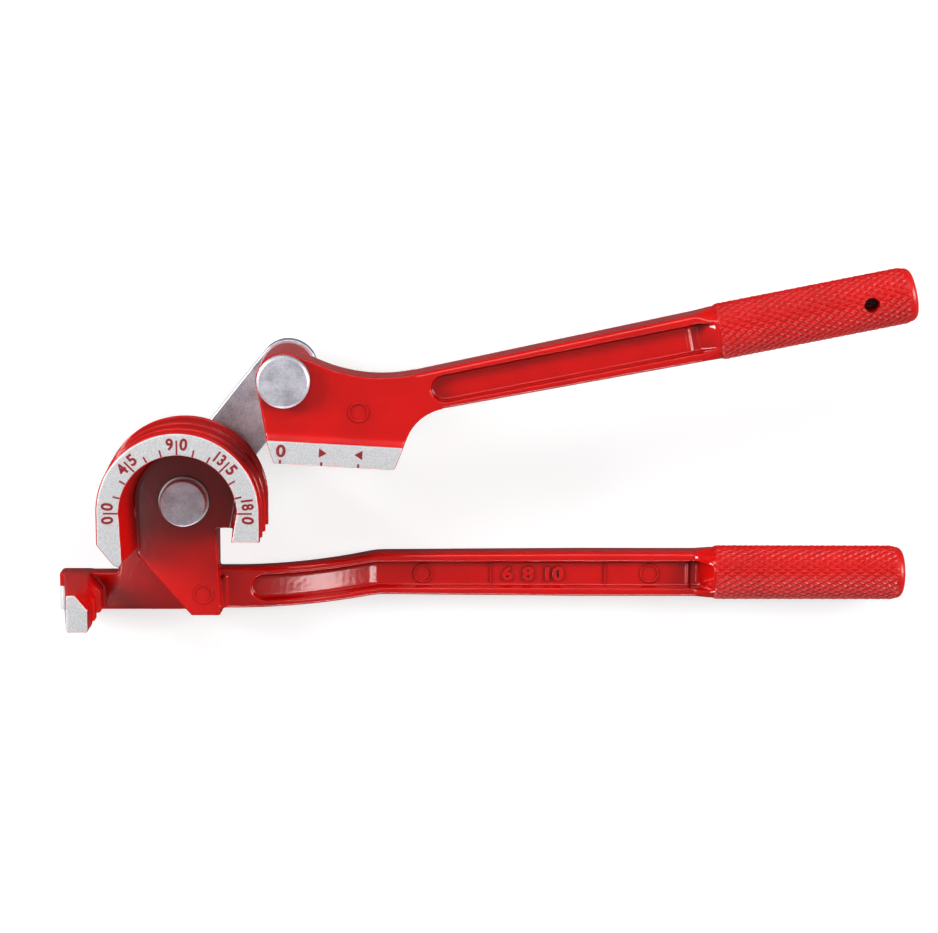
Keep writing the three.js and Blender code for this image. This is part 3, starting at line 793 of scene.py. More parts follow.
def channel_cutter(side, start, grip_start, bar_at, crest, heights, depth, ramp_length):
    """A channel's cutter, with side 1 at the front and -1 at the back.

    The channel starts round. Before the neck it has a low ridge and a shallow pocket, and then a crowned ramp
    leads out through the neck to the grip's crest.
    """
    turn = heights[0] / 2
    length = grip_start - RAMP_END - start
    ramp_from = grip_start - ramp_length - start
    pocket_from = ramp_from - POCKET_LENGTH
    ridge_from = pocket_from - RIDGE_WIDTH
    places = spread(0, turn, NECK_STEPS) + spread(turn, ridge_from, SPAN_STEPS)[1:]
    places += spread(ridge_from, pocket_from, ROUND_STEPS)[1:] + [pocket_from + POCKET_STEP]
    places += spread(ramp_from, length + RAMP_RUN_OUT, ROUND_STEPS)
    rings = []
    for place in places:
        centre_y, _, back, front = bar_at(min(start + place, grip_start - GRIP_NECK))
        to_round = max(0, 1 - place / turn)
        height = max(mix(*heights, place / length) * math.sqrt(1 - to_round ** 2), CHANNEL_FLOOR_ROUND)
        low = max(height - 2 * CHANNEL_WALL_SLOPE, CHANNEL_FLOOR_ROUND / 2)
        surface = front if side > 0 else back
        ramp = max(0, (place - ramp_from) / (length - ramp_from))
        floor = mix(surface - side * (depth + (POCKET_STEP if place > pocket_from else 0)), crest, ramp)
        ridge = (place - ridge_from) / RIDGE_WIDTH
        if 0 < ridge < 1:
            floor += side * POCKET_STEP * math.sin(math.pi * ridge)
        top = crest if side > 0 else min(crest, surface)
        rim = side * (OVERRUN + max(side * top, side * floor))
        wall = floor + side * depth
        wide = height / 2 + CHANNEL_WALL_SLOPE
        corners = [(wide, rim), (-wide, rim), (-height / 2, wall)]
        for share in spread(-1, 1, ROUND_STEPS):
            corners.append((share * low / 2, floor - side * RAMP_CROWN * min(ramp, 1) * share ** 2))
        corners.append((height / 2, wall))
        if side < 0:
            corners.reverse()
        rings.append([(start + place, centre_y + across, z) for across, z in corners])
    return loft("channel", rings)


def channels(start, grip_start, bar_at, grip_z, heights, depth, ramp_length):
    """The cutters for a handle's front and back channel."""
    made = []
    for side in (1, -1):
        crest = grip_z + side * GRIP_RADIUS
        made.append(channel_cutter(side, start, grip_start, bar_at, crest, heights, depth, ramp_length))
    return made


def lower_handle():
    """The cranked lower handle with a channel on each side."""
    made = handle("lower handle", WEB_RIGHT, lower_bar_at, LOWER_GRIP_START, LOWER_GRIP_RISE, GRIP_RADIUS)
    heights = (LOWER_CHANNEL_HEIGHT, LOWER_CHANNEL_HEIGHT_END)
    return cut(made, channels(
        LOWER_CHANNEL_START, LOWER_GRIP_START, lower_bar_at, GRIP_RADIUS, heights, LOWER_CHANNEL_DEPTH,
        LOWER_RAMP_LENGTH,
    ))


def upper_axis_matrix():
    """Takes the upper handle's own frame into the shoe's frame."""
    return Matrix.Rotation(UPPER_AXIS_ANGLE, 4, "Z") @ Matrix.Translation((0, UPPER_AXIS_OFFSET, 0))


def shoe_matrix():
    """Takes the shoe's frame into the model's frame."""
    return Matrix.Translation(SHOE_PIVOT) @ Matrix.Rotation(SHOE_ANGLE, 4, "Z")


def move(made, matrix):
    """Moves an object's mesh by a matrix in millimetres."""
    scaled = matrix.copy()
    scaled.translation *= MM
    made.data.transform(scaled)
    return made


def upper_handle():
    """The upper handle with a channel on each side and the grip's blind hole, in the shoe's frame."""
    start = UPPER_BAR_START - UPPER_BAR_HEIGHT / 2
    made = handle("upper handle", start, upper_bar_at, UPPER_GRIP_START, 0, UPPER_GRIP_Z)
    heights = (UPPER_CHANNEL_HEIGHT, UPPER_CHANNEL_HEIGHT_END)
    cutters = channels(
        UPPER_CHANNEL_START, UPPER_GRIP_START, upper_bar_at, UPPER_GRIP_Z, heights, UPPER_CHANNEL_DEPTH,
        UPPER_RAMP_LENGTH,
    )
    hole_x = UPPER_GRIP_START + GRIP_LENGTH - GRIP_HOLE_FROM_END
    hole_back = CASTING_FRONT - GRIP_HOLE_DEPTH - SEAM
    cutters.append(disc("hole", GRIP_HOLE_RADIUS + SEAM, hole_back, CASTING_FRONT + OVERRUN, hole_x))
    return move(cut(made, cutters), upper_axis_matrix())


def knurled_sleeve(start, centre_y, centre_z, settings, hole):
    """A grip's skin with a pressed diamond pattern, a plain round end and, where asked for, a blind hole."""
    crest = GRIP_RADIUS + settings.knurl_depth / MM * KNURL_PROUD_SHARE
    valley = crest - settings.knurl_depth / MM
    pitch = settings.knurl_length / MM
    around = settings.knurl_count
    columns = around * KNURL_COLUMNS
    rows = int(GRIP_LENGTH / pitch * KNURL_ROWS)
    plain = GRIP_LENGTH - GRIP_END_ROUND
    hole_place = GRIP_LENGTH - GRIP_HOLE_FROM_END

    rings = []
    for row in range(rows + 1):
        place = plain * row / rows
        fade = smooth_step(place / KNURL_FADE_NECK) * smooth_step((plain - place) / KNURL_FADE_END)
        ring = []
        for column in range(columns):
            angle = 2 * math.pi * column / columns
            turns = around * column / columns
            # Two crossing sets of grooves leave diamonds, whose flanks the enamel rounds off.
            one = abs(2 * ((turns + place / pitch) % 1) - 1)
            two = abs(2 * ((turns - place / pitch) % 1) - 1)
            radius = mix(valley, crest, smooth_step(KNURL_FLANK_SHARE * min(one, two)) * fade)
            if hole:
                away = math.hypot(place - hole_place, GRIP_RADIUS * (angle - math.pi / 2))
                radius -= GRIP_HOLE_DEPTH * smooth_step((GRIP_HOLE_RADIUS - away) / HOLE_EDGE + 0.5)
            y, z = centre_y + radius * math.cos(angle), centre_z + radius * math.sin(angle)
            ring.append((start + place, y, z))
        rings.append(ring)
    for angle in spread(0, math.pi / 2, ROUND_STEPS)[1:]:
        x = start + plain + GRIP_END_ROUND * math.sin(angle)
        radius = valley - GRIP_END_ROUND + GRIP_END_ROUND * math.cos(angle)
        rings.append([(x, y, z) for y, z in circle(centre_y, centre_z, radius, columns)])
    tucked = [
        (start - SLEEVE_TUCK, mix(centre_y, y, SLEEVE_TUCK_SHARE), mix(centre_z, z, SLEEVE_TUCK_SHARE))
        for _, y, z in rings[0]
    ]
    made = loft("sleeve", [tucked, *rings])
    shade(made, SLEEVE_CREASE)
    return made


# Forming shoe


def upper_bar_line(side):
    """One edge of the upper bar in the shoe's frame: a point at its start, and its direction."""
    turn = Matrix.Rotation(UPPER_AXIS_ANGLE, 2)
    ends = []
    for x in (UPPER_BAR_START, UPPER_GRIP_START):
        ends.append(turn @ Vector((x, UPPER_AXIS_OFFSET + side * upper_bar_at(x)[1] / 2)))
    return ends[0], (ends[1] - ends[0]).normalized()


def fillet(corner, along_one, along_two, radius, steps):
    """An arc that touches two straight edges leaving one corner."""
    half = along_one.angle(along_two) / 2
    centre = corner + (along_one + along_two).normalized() * (radius / math.sin(half))
    reach = radius / math.tan(half)
    start = corner + along_one * reach - centre
    end = corner + along_two * reach - centre
    angle = math.atan2(start.y, start.x)
    turn = math.atan2(start.x * end.y - start.y * end.x, start.dot(end))
    return arc(centre.x, centre.y, radius, angle, angle + turn, steps)


def root_arc():
    """The plate's top edge, which touches the bar's top line and dips lowest beside the eye."""
    start, along = upper_bar_line(1)
    centre_y = ROOT_DIP + ROOT_RADIUS
    centre_x = start.x + ((centre_y - start.y) * along.x - ROOT_RADIUS) / along.y
    touch = math.atan2(along.y, along.x) - math.pi / 2
    eye_side = -math.pi / 2 - math.asin((centre_x - ROOT_END) / ROOT_RADIUS)
    return arc(centre_x, centre_y, ROOT_RADIUS, touch, eye_side, ARC_STEPS)


def throat_arc():
    """The throat touches the shoe's right side and the bar's bottom line."""
    start, along = upper_bar_line(-1)
    foot = Vector((SHOE_STRIP_RIGHT, -SHOE_STRIP_TOP))
    down = Vector((SHOE_FACE_RIGHT - SHOE_STRIP_RIGHT, SHOE_STRIP_TOP - SHOE_FACE)).normalized()
    between = foot - start
    reach = (between.x * down.y - between.y * down.x) / (along.x * down.y - along.y * down.x)
    return fillet(start + along * reach, down, along, THROAT_RADIUS, ARC_STEPS)


def plate():
    """The front plate between the eye, the strip and the bar."""
    outline = [(-EYE_RADIUS, 0), (-SHOE_STRIP_LEFT, -SHOE_STRIP_TOP), (SHOE_STRIP_RIGHT, -SHOE_STRIP_TOP)]
    outline += throat_arc() + root_arc() + [(0, EYE_RADIUS)]
    return prism("plate", outline, PLATE_BACK, PLATE_FRONT)


def block():
    """The block with the forming grooves, and the slope above the raised strip on its front."""
    corner = Vector((SHOE_FACE_RIGHT, -SHOE_FACE))
    up = Vector((SHOE_STRIP_RIGHT - SHOE_FACE_RIGHT, SHOE_FACE - SHOE_STRIP_TOP)).normalized()
    outline = [(-SHOE_STRIP_LEFT, -SHOE_STRIP_TOP), (-SHOE_FACE_LEFT, -SHOE_FACE)]
    outline += fillet(corner, Vector((-1, 0)), up, SHOE_CORNER_ROUND, ROUND_STEPS)
    outline += [(SHOE_STRIP_RIGHT, -SHOE_STRIP_TOP)]
    tubes = [
        rod("tube", radius, (SHOE_STRIP_RIGHT / 2, bend - PIN_DISTANCE, centre), 2 * SHOE_STRIP_RIGHT, True)
        for radius, centre, bend in LANES
    ]
    made = cut(prism("block", outline, CASTING_BACK, CASTING_FRONT), tubes)
    slope = [
        (-SHOE_STRIP_TOP - SEAM, PLATE_FRONT - SEAM),
        (-SHOE_STRIP_TOP - SEAM, CASTING_FRONT),
        (-SHOE_STRIP_TOP, CASTING_FRONT),
        (-SHOE_STRIP_TOP + STRIP_SLOPE, PLATE_FRONT - STRIP_SINK),
    ]
    ends = [[(x, y, z) for y, z in slope] for x in (-SHOE_STRIP_LEFT, SHOE_STRIP_RIGHT)]
    return [made, loft("strip slope", ends)]


def shoe_back():
    """The block above the face and the rib up to the eye, behind the plate."""
    turn = SHOE_BLOCK_ROUND
    outline = [
        (-EYE_RADIUS, 0),
        (-SHOE_STRIP_LEFT, -SHOE_STRIP_TOP),
        (SHOE_STRIP_RIGHT, -SHOE_STRIP_TOP),
        (SHOE_STRIP_RIGHT, -SHOE_BLOCK_TOP - turn),
        (SHOE_STRIP_RIGHT - turn, -SHOE_BLOCK_TOP),
        (SHOE_RIB_RIGHT + turn, -SHOE_BLOCK_TOP),
        (SHOE_RIB_RIGHT, -SHOE_BLOCK_TOP + turn),
        (SHOE_RIB_RIGHT, 0),
    ]
    return prism("shoe back", outline, CASTING_BACK, PLATE_BACK + SEAM)


# Small cast and engraved marks


def ejector_mark(x, y, z):
    """The thin raised ring that a mould's ejector pin leaves."""
    rings = []
    for angle in spread(2 * math.pi, 0, EJECTOR_STEPS)[:-1]:
        across = Vector((math.cos(angle), math.sin(angle), 0))
        wire = circle(EJECTOR_RADIUS, 0, EJECTOR_WIRE, WIRE_STEPS)
        rings.append([Vector((x, y, z + rise)) + across * reach for reach, rise in wire])
    return loft("ejector mark", rings, hoop=True)


def stroke(x, y, length, width, angle, back, front):
    """A straight stroke, centred on a point."""
    half, side = length / 2, width / 2
    turn = Matrix.Translation((x, y, 0)) @ Matrix.Rotation(angle, 4, "Z")
    corners = [(-half, -side), (half, -side), (half, side), (-half, side)]
    return loft("stroke", [at_depth(corners, back), at_depth(corners, front)], turn)


def lettering(text, height, x, y, angle, back, front, squeeze, weight=FIGURE_WEIGHT, bevel=0):
    """Plain figures, centred on a point, as a solid between two depths."""
    curve = bpy.data.curves.new("figures", "FONT")
    curve.body = text
    curve.size = 1
    curve.align_x = "CENTER"
    curve.extrude = 0.5
    curve.offset = weight
    curve.bevel_depth = bevel
    made = linked("figures", curve)
    mesh = evaluated_mesh(made)
    bpy.data.objects.remove(made)
    left, right = span(vertex.co.x for vertex in mesh.vertices)
    low, high = span(vertex.co.y for vertex in mesh.vertices)
    scale = height / (high - low)
    mesh.transform(Matrix.Translation((-(left + right) / 2, -(low + high) / 2, 0)))
    mesh.transform(Matrix.Diagonal((scale * squeeze, scale, front - back, 1)))
    mesh.transform(Matrix.Translation((x, y, (front + back) / 2)) @ Matrix.Rotation(angle, 4, "Z"))
    mesh.transform(Matrix.Diagonal((MM, MM, MM, 1)))
    return linked("figures", mesh)


def channel_marks(grip_y):
    """The figures between two bars, and two ejector rings, on the lower channel's floor."""
    floor = LOWER_BAR_FRONT - LOWER_CHANNEL_DEPTH
    made = [ejector_mark(x, grip_y, floor) for x in CHANNEL_EJECTORS]
    low, high = floor - CAST_DEPTH, floor + CAST_BAR_RELIEF
    for x in CAST_BARS:
        made.append(stroke(x, grip_y, CAST_BAR_LENGTH, CAST_BAR_WIDTH, math.pi / 2, low, high))
    low, high = floor - CAST_FIGURE_RELIEF, floor + CAST_FIGURE_RELIEF
    for text, x in CAST_FIGURES:
        made.append(lettering(
            text, CAST_FIGURE_HEIGHT, x, grip_y, 0, low, high, WIDE_SQUEEZE, 0, CAST_FIGURE_BEVEL,
        ))
    return made


def degree_scale(back, front):
    """A stroke each 15 degrees, and at each 45 a longer one with a figure on either side."""
    made = []
    for degrees in range(0, 181, SCALE_STEP):
        angle = math.radians(degrees)
        length = SCALE_LONG if degrees in SCALE_FIGURES else SCALE_SHORT
        middle = RECESS_RADIUS + SCALE_GAP + length / 2
        x, y = middle * math.cos(angle), middle * math.sin(angle)
        made.append(stroke(x, y, length, SCALE_WIDTH, angle, back, front))
        for text, side in zip(SCALE_FIGURES.get(degrees, ()), (1, -1)):
            wide = len(text) > 1
            turn = angle + side * (FIGURE_TURN_WIDE if wide else FIGURE_TURN)
            x, y = FIGURE_RADIUS * math.cos(turn), FIGURE_RADIUS * math.sin(turn)
            squeeze = PAIR_SQUEEZE if wide else FIGURE_SQUEEZE
            made.append(lettering(text, FIGURE_HEIGHT, x, y, turn - math.pi / 2, back, front, squeeze))
    return merge(made[0], made[1:])


def shoe_stops(back, front):
    """Three short strokes on the shoe's strip, with a zero over the first and arrowheads over the rest."""
    made = [stroke(x, -STOP_DROP, STOP_LENGTH, STOP_WIDTH, math.pi / 2, back, front) for x in STOP_PLACES]
    made.append(lettering("0", STOP_ZERO_HEIGHT, *STOP_ZERO, 0, back, front, WIDE_SQUEEZE))
    for x, side in ARROW_PLACES:
        foot = x - side * ARROW_BACK
        arrow = [
            (foot, -ARROW_DROP - ARROW_HALF),
            (x + side * ARROW_TIP, -ARROW_DROP),
            (foot, -ARROW_DROP + ARROW_HALF),
        ]
        made.append(prism("arrow", arrow[::side], back, front))
    return merge(made[0], made[1:])


# Materials


def linear(hex_colour):
    """Turns an sRGB hex colour into Blender's linear one."""
    parts = [int(hex_colour[index:index + 2], 16) / 255 for index in (0, 2, 4)]
    return (*[part / 12.92 if part <= 0.04045 else ((part + 0.055) / 1.055) ** 2.4 for part in parts], 1)


def toned(hex_colour, share):
    """A hex colour made darker or lighter by a share."""
    return (*[min(1, share * part) for part in linear(hex_colour)[:3]], 1)


def add(tree, kind, values=None, links=None, **settings):
    """Adds a node with its settings, its socket values and its links."""
    made = tree.nodes.new(kind)
    for name, value in settings.items():
        setattr(made, name, value)
    for name, value in (values or {}).items():
        made.inputs[name].default_value = value
    for name, source in (links or {}).items():
        tree.links.new(source, made.inputs[name])
    return made


def noise(tree, place, scale, detail=2, roughness=0.5):
    """A noise pattern, with the scale in bumps to the metre."""
    values = {"Scale": scale, "Detail": detail, "Roughness": roughness}
    return add(tree, "ShaderNodeTexNoise", values, {"Vector": place}).outputs["Fac"]


def remap(tree, value, low, high, start=0, end=1):
    """Maps a value from the span start to end onto the span low to high, and keeps it inside."""
    values = {"From Min": start, "From Max": end, "To Min": low, "To Max": high}
    return add(tree, "ShaderNodeMapRange", values, {"Value": value}).outputs["Result"]


def combine(tree, operation, one, two):
    """One sum on a value and a second value or number."""
    if isinstance(two, (int, float)):
        return add(tree, "ShaderNodeMath", {1: two}, {0: one}, operation=operation).outputs[0]
    return add(tree, "ShaderNodeMath", links={0: one, 1: two}, operation=operation).outputs[0]


def tones(tree, value, dark, light, start, end):
    """Turns a value into a colour between a dark and a light tone."""
    made = add(tree, "ShaderNodeValToRGB", links={"Fac": value})
    for element, position, colour in zip(made.color_ramp.elements, (start, end), (dark, light)):
        element.position = position
        element.color = colour
    return made.outputs["Color"]


def relief(tree, height, strength=COAT_RELIEF):
    """The normal of a fine relief."""
    values = {"Strength": strength, "Distance": RELIEF_DEPTH * MM}
    return add(tree, "ShaderNodeBump", values, {"Height": height}).outputs["Normal"]


def principled(tree, values, links):
    """Ends a material with one principled surface."""
    shader = add(tree, "ShaderNodeBsdfPrincipled", values, links)
    add(tree, "ShaderNodeOutputMaterial", links={"Surface": shader.outputs["BSDF"]})


def new_material(name):
    """A node material, empty but for the place on the object."""
    material = bpy.data.materials.new(name)
    material.use_nodes = True
    material.node_tree.nodes.clear()
    place = add(material.node_tree, "ShaderNodeTexCoord").outputs["Object"]
    return material, material.node_tree, place


def enamel(tree, place, red):
    """Colour and peel of stoving enamel.

    The red drifts a little over some 12 mm. It is painted darker where an occlusion test finds the surface
    shut in, as painted shade:
    in the recess, the channels and the knurl's valleys. The peel is a soft swell of 1.4 mm.
    """
    drift = noise(tree, place, COAT_DRIFT)
    paint = tones(tree, drift, toned(red, COAT_DRIFT_TONE), linear(red), *COAT_DRIFT_SPAN)
    # Painted shade: an ambient occlusion test darkens the red in the recess, the channels and the knurl's
    # valleys, where shade falls.
    values = {"Distance": PAINTED_SHADE_REACH * MM}
    openness = add(tree, "ShaderNodeAmbientOcclusion", values, samples=12).outputs["AO"]
    depth = remap(tree, openness, *PAINTED_SHADE_TONES, *PAINTED_SHADE_SPAN)
    paint_darkened_as_shade = add(tree, "ShaderNodeVectorMath", links={0: paint, 1: depth}, operation="MULTIPLY")
    return paint_darkened_as_shade.outputs["Vector"], noise(tree, place, COAT_PEEL)


def milled_metal(tree, place, bare):
    """Colour and grain of finely milled aluminium: speckle of 0.3 mm over the cutter's arcs, 1 mm apart."""
    speckle = noise(tree, place, MILLED_SPECKLE, 3, 0.7)
    centre = [-part * MM for part in (*CUTTER_CENTRE, 0)]
    turned = add(tree, "ShaderNodeMapping", {"Location": centre}, {"Vector": place}).outputs["Vector"]
    waves = {"Scale": MILLED_ARCS, "Distortion": 1.5, "Detail": 2, "Detail Scale": 3}
    arcs = add(tree, "ShaderNodeTexWave", waves, {"Vector": turned}, wave_type="RINGS", rings_direction="Z")
    grain = combine(tree, "ADD", combine(tree, "MULTIPLY", arcs.outputs["Fac"], MILLED_ARC_SHARE), speckle)
    return tones(tree, speckle, toned(bare, MILLED_TONE), linear(bare), *MILLED_SPAN), grain


def milled_mask(tree, place, face_z, flank):
    """1 on the front faces that the cutter took, and on the ground flank where one is given, and else 0."""
    parts = add(tree, "ShaderNodeSeparateXYZ", links={"Vector": place}).outputs
    edge = MILLED_EDGE * MM
    mask = remap(tree, parts["Z"], 0, 1, face_z - edge, face_z - edge / 2)
    if flank:
        plane, reach, limit = flank
        aside = add(tree, "ShaderNodeVectorMath", {1: plane}, {0: place}, operation="DOT_PRODUCT")
        ground = remap(tree, aside.outputs["Value"], 0, 1, reach - 3 * edge, reach - 2 * edge)
        low = combine(tree, "LESS_THAN", parts["Y"], limit)
        mask = combine(tree, "MAXIMUM", mask, combine(tree, "MULTIPLY", ground, low))
    return mask


def enamelled_casting(name, red, bare, face_z, flank=None):
    """Gloss stoving enamel on an aluminium casting, milled bare on its front faces.

    The enamel is smooth enough to mirror the lamps, and the milled faces are pale and dull.
    """
    material, tree, place = new_material(name)
    mask = milled_mask(tree, place, face_z, flank)
    coat, peel = enamel(tree, place, red)
    metal, grain = milled_metal(tree, place, bare)
    colour = add(tree, "ShaderNodeMix", links={"Factor": mask, "A": coat, "B": metal}, data_type="RGBA")
    height = add(tree, "ShaderNodeMix", links={"Factor": mask, "A": peel, "B": grain}, data_type="FLOAT")
    principled(tree, {"IOR": COAT_INDEX}, {
        "Base Color": colour.outputs["Result"],
        "Metallic": mask,
        "Roughness": remap(tree, mask, COAT_ROUGHNESS, MILLED_ROUGHNESS),
        "Normal": relief(tree, height.outputs["Result"]),
    })
    return material


def enamelled_grip(name, red):
    """The same enamel on a knurled grip, duller because the pressed diamonds break its flow."""
    material, tree, place = new_material(name)
    coat, peel = enamel(tree, place, red)
    values = {"IOR": COAT_INDEX, "Roughness": GRIP_ROUGHNESS}
    principled(tree, values, {"Base Color": coat, "Normal": relief(tree, peel)})
    return material


def zinc_plate(name, light, dark, crystal_scale, roughness):
    """Steel, electroplated with zinc: a grey metal that crystals and handling marks mottle."""
    material, tree, place = new_material(name)
    crystals = noise(tree, place, crystal_scale, 4, 0.75)
    marks = noise(tree, place, ZINC_MARKS)
    mottle = combine(tree, "MULTIPLY", combine(tree, "ADD", crystals, marks), 0.5)
    smoothest, roughest = roughness - ZINC_ROUGHNESS_SWING, roughness + ZINC_ROUGHNESS_SWING
    principled(tree, {"Metallic": 1}, {
        "Base Color": tones(tree, mottle, linear(dark), linear(light), *ZINC_SPAN),
        "Roughness": remap(tree, crystals, smoothest, roughest),
        "Normal": relief(tree, crystals, ZINC_RELIEF),
    })
    return material


def filled_paint(name, colour):
    """Dark paint wiped into engraved lines: dull, and thin in places."""
    material, tree, place = new_material(name)
    thick, thin = [toned(colour, share) for share in PAINT_TONES]
    tone = tones(tree, noise(tree, place, PAINT_PATCHES), thick, thin, 0, 1)
    principled(tree, {"Roughness": PAINT_ROUGHNESS}, {"Base Color": tone})
    return material


def set_material(made, material):
    """Gives an object one material."""
    made.data.materials.clear()
    made.data.materials.append(material)


# Pins and link


def pin(name, node, head_radius, head_thick, chamfer, matrix):
    """A headed pin with a rounded edge on its head and a formed tail."""
    head_front = box_mm(node)[1].z
    head_back = head_front - head_thick
    turn = min(HEAD_ROUND, chamfer / 2)
    outer = head_radius - turn
    profile = [
        (0, 0),
        (TAIL_RADIUS - TAIL_CHAMFER, 0),
        (TAIL_RADIUS, TAIL_CHAMFER),
        (TAIL_RADIUS, TAIL_THICK),
        (PIN_RADIUS, TAIL_THICK),
        (PIN_RADIUS, head_back),
        (outer, head_back),
    ]
    profile += arc(outer, head_back + turn, turn, -math.pi / 2, 0, EDGE_STEPS)
    profile += arc(outer, head_front - chamfer - turn, turn, 0, math.pi / 4, EDGE_STEPS)
    profile += arc(outer - chamfer, head_front - turn, turn, math.pi / 4, math.pi / 2, EDGE_STEPS)
    profile += [(0, head_front)]
    return revolve(name, profile, matrix)


def link_plate(low, high):
    """The link between two depths, with round ends, rounded edges and its two bores."""
    edge = arc(LINK_END_RADIUS - LINK_EDGE, LINK_EDGE, LINK_EDGE, -math.pi / 2, 0, LINK_EDGE_STEPS)
    levels = [(radius, low + rise) for radius, rise in edge]
    levels += [(radius, high - rise) for radius, rise in reversed(edge)]
    rings = []
    for radius, z in levels:
        flat = arc(PIN_DISTANCE, 0, radius, -math.pi / 2, math.pi / 2, CIRCLE_STEPS // 4)
        flat += arc(0, 0, radius, math.pi / 2, 1.5 * math.pi, CIRCLE_STEPS // 4)
        rings.append(at_depth(flat, z))
    made = cut(loft("link_plate_punched", rings), [bore(low, high, x) for x in (0, PIN_DISTANCE)])
    return move(made, Matrix.Rotation(math.atan2(SHOE_PIVOT.y, SHOE_PIVOT.x), 4, "Z"))


# Stage


def floor_plane(size):
    """A square floor just below the model."""
    z = CAD_BOX[0][2] - FLOOR_DROP * MM
    corners = [(x * size / 2, y * size / 2, z) for x, y in ((-1, -1), (1, -1), (1, 1), (-1, 1))]
    mesh = bpy.data.meshes.new("floor")
    mesh.from_pydata(corners, [], [(0, 1, 2, 3)])
    return linked("floor", mesh)


def white_paper(glow):
    """A white paper sweep.

    The camera sees it nearly white with a soft shadow. To the tool it is grey, and darker still in the gloss,
    so the tool's sides keep their depth, as between a studio's black cards.
    """
    material, tree, _ = new_material("white_paper_sweep")
    path = add(tree, "ShaderNodeLightPath").outputs
    dim = remap(tree, path["Is Glossy Ray"], *CARD_TONES)
    card = add(tree, "ShaderNodeBsdfDiffuse", links={"Color": dim})
    paper = add(tree, "ShaderNodeBsdfDiffuse", {"Color": (PAPER_TONE, PAPER_TONE, PAPER_TONE, 1)})
    lit = add(tree, "ShaderNodeEmission", {"Color": (1, 1, 1, 1), "Strength": glow})
    bright = add(tree, "ShaderNodeAddShader", links={0: paper.outputs[0], 1: lit.outputs[0]})
    seen = path["Is Camera Ray"]
    sweep = add(tree, "ShaderNodeMixShader", links={0: seen, 1: card.outputs[0], 2: bright.outputs[0]})
    add(tree, "ShaderNodeOutputMaterial", links={"Surface": sweep.outputs[0]})
    return material


def white_surround(fill, sheen):
    """A surround that the camera sees white. It is grey in the gloss, and dim as a light."""
    world = bpy.data.worlds.new("white_surround")
    world.use_nodes = True
    tree = world.node_tree
    tree.nodes.clear()
    path = add(tree, "ShaderNodeLightPath").outputs
    unseen = remap(tree, path["Is Glossy Ray"], fill, sheen)
    links = {"Value": path["Is Camera Ray"], "To Min": unseen}
    strength = add(tree, "ShaderNodeMapRange", {"To Max": 1}, links).outputs["Result"]
    sky = add(tree, "ShaderNodeBackground", {"Color": (1, 1, 1, 1)}, {"Strength": strength})
    add(tree, "ShaderNodeOutputWorld", links={"Surface": sky.outputs[0]})
    return world


def area_lamp(name, place, size, power):
    """A soft rectangular lamp that points at the tool."""
    data = bpy.data.lights.new(name, "AREA")
    data.shape = "RECTANGLE"
    data.size, data.size_y = size
    data.energy = power
    lamp = linked(name, data)
    lamp.location = place
    lamp.rotation_euler = (Vector(LAMP_TARGET) - Vector(place)).to_track_quat("-Z", "Y").to_euler()


def photo_camera():
    """The camera, above the tool and towards its upper handle, as the photograph's perspective gives it."""
    data = bpy.data.cameras.new("camera")
    data.lens = CAMERA_LENS
    data.sensor_width = CAMERA_SENSOR
    data.clip_start = CAMERA_NEAR * MM
    made = linked("camera", data)
    tilt, lean, roll = [Matrix.Rotation(angle, 4, axis) for angle, axis in zip(CAMERA_TURN, "XYZ")]
    turn = (roll @ lean @ tilt).transposed()
    made.matrix_world = Matrix.Translation(Vector(CAMERA_PLACE) * MM) @ turn
    return made


# Settings


class CastingSettings(bpy.types.PropertyGroup):
    """How finely the castings are skinned, how round their edges are, and their colours."""

    voxel: bpy.props.FloatProperty(
        name="Skin step", description="Size of the skin's facets", default=0.32 * MM, unit="LENGTH",
    )
    passes: bpy.props.IntProperty(
        name="Edge rounding", description="Smoothing passes over the cast edges", default=4, min=0, max=20,
    )
    red: bpy.props.StringProperty(name="Enamel", description="Colour of the enamel, as hex", default="D00A07")
    bare: bpy.props.StringProperty(
        name="Milled face", description="Colour of bare metal, as hex", default="F0F0F2",
    )


class GripSettings(bpy.types.PropertyGroup):
    """The pressed diamond pattern of both grips."""

    knurl_length: bpy.props.FloatProperty(
        name="Diamond length", description="Length of a diamond along the grip", default=3.58 * MM,
        unit="LENGTH",
    )
    knurl_count: bpy.props.IntProperty(
        name="Diamonds around", description="Diamonds round the grip", default=28, min=8, max=60,
    )
    knurl_depth: bpy.props.FloatProperty(
        name="Knurl depth", description="Depth of the pattern", default=0.45 * MM, unit="LENGTH",
    )


class MetalSettings(bpy.types.PropertyGroup):
    """Colours of the plated steel and of the paint in the engraved marks, as hex."""

    zinc: bpy.props.StringProperty(
        name="Zinc", description="Light tone of the pins and link", default="ECEAF2",
    )
    zinc_dark: bpy.props.StringProperty(name="Zinc shade", description="Their dark tone", default="B4B1BC")
    bright: bpy.props.StringProperty(
        name="Washers", description="Light tone of the washers", default="D8D8DA",
    )
    bright_dark: bpy.props.StringProperty(
        name="Washer shade", description="Their dark tone", default="B4B4B8",
    )
    marks: bpy.props.StringProperty(name="Marks", description="Paint in the engraved marks", default="8E1B22")


class StageSettings(bpy.types.PropertyGroup):
    """Floor, lamps and surround."""

    floor_size: bpy.props.FloatProperty(
        name="Floor", description="Side of the square floor", default=6, unit="LENGTH",
    )
    floor_glow: bpy.props.FloatProperty(
        name="Floor glow", description="Light the paper gives to the camera besides what falls on it",
        default=0.7,
    )
    softbox_power: bpy.props.FloatProperty(
        name="Softbox", description="Power of the left softbox, which the other lamps have shares of",
        default=21, unit="POWER",
    )
    fill: bpy.props.FloatProperty(
        name="Ambient", description="Strength of the white surround", default=0.06,
    )
    sheen: bpy.props.FloatProperty(
        name="Sheen", description="Strength of the surround where gloss reflects it", default=0.32,
    )


# Operators


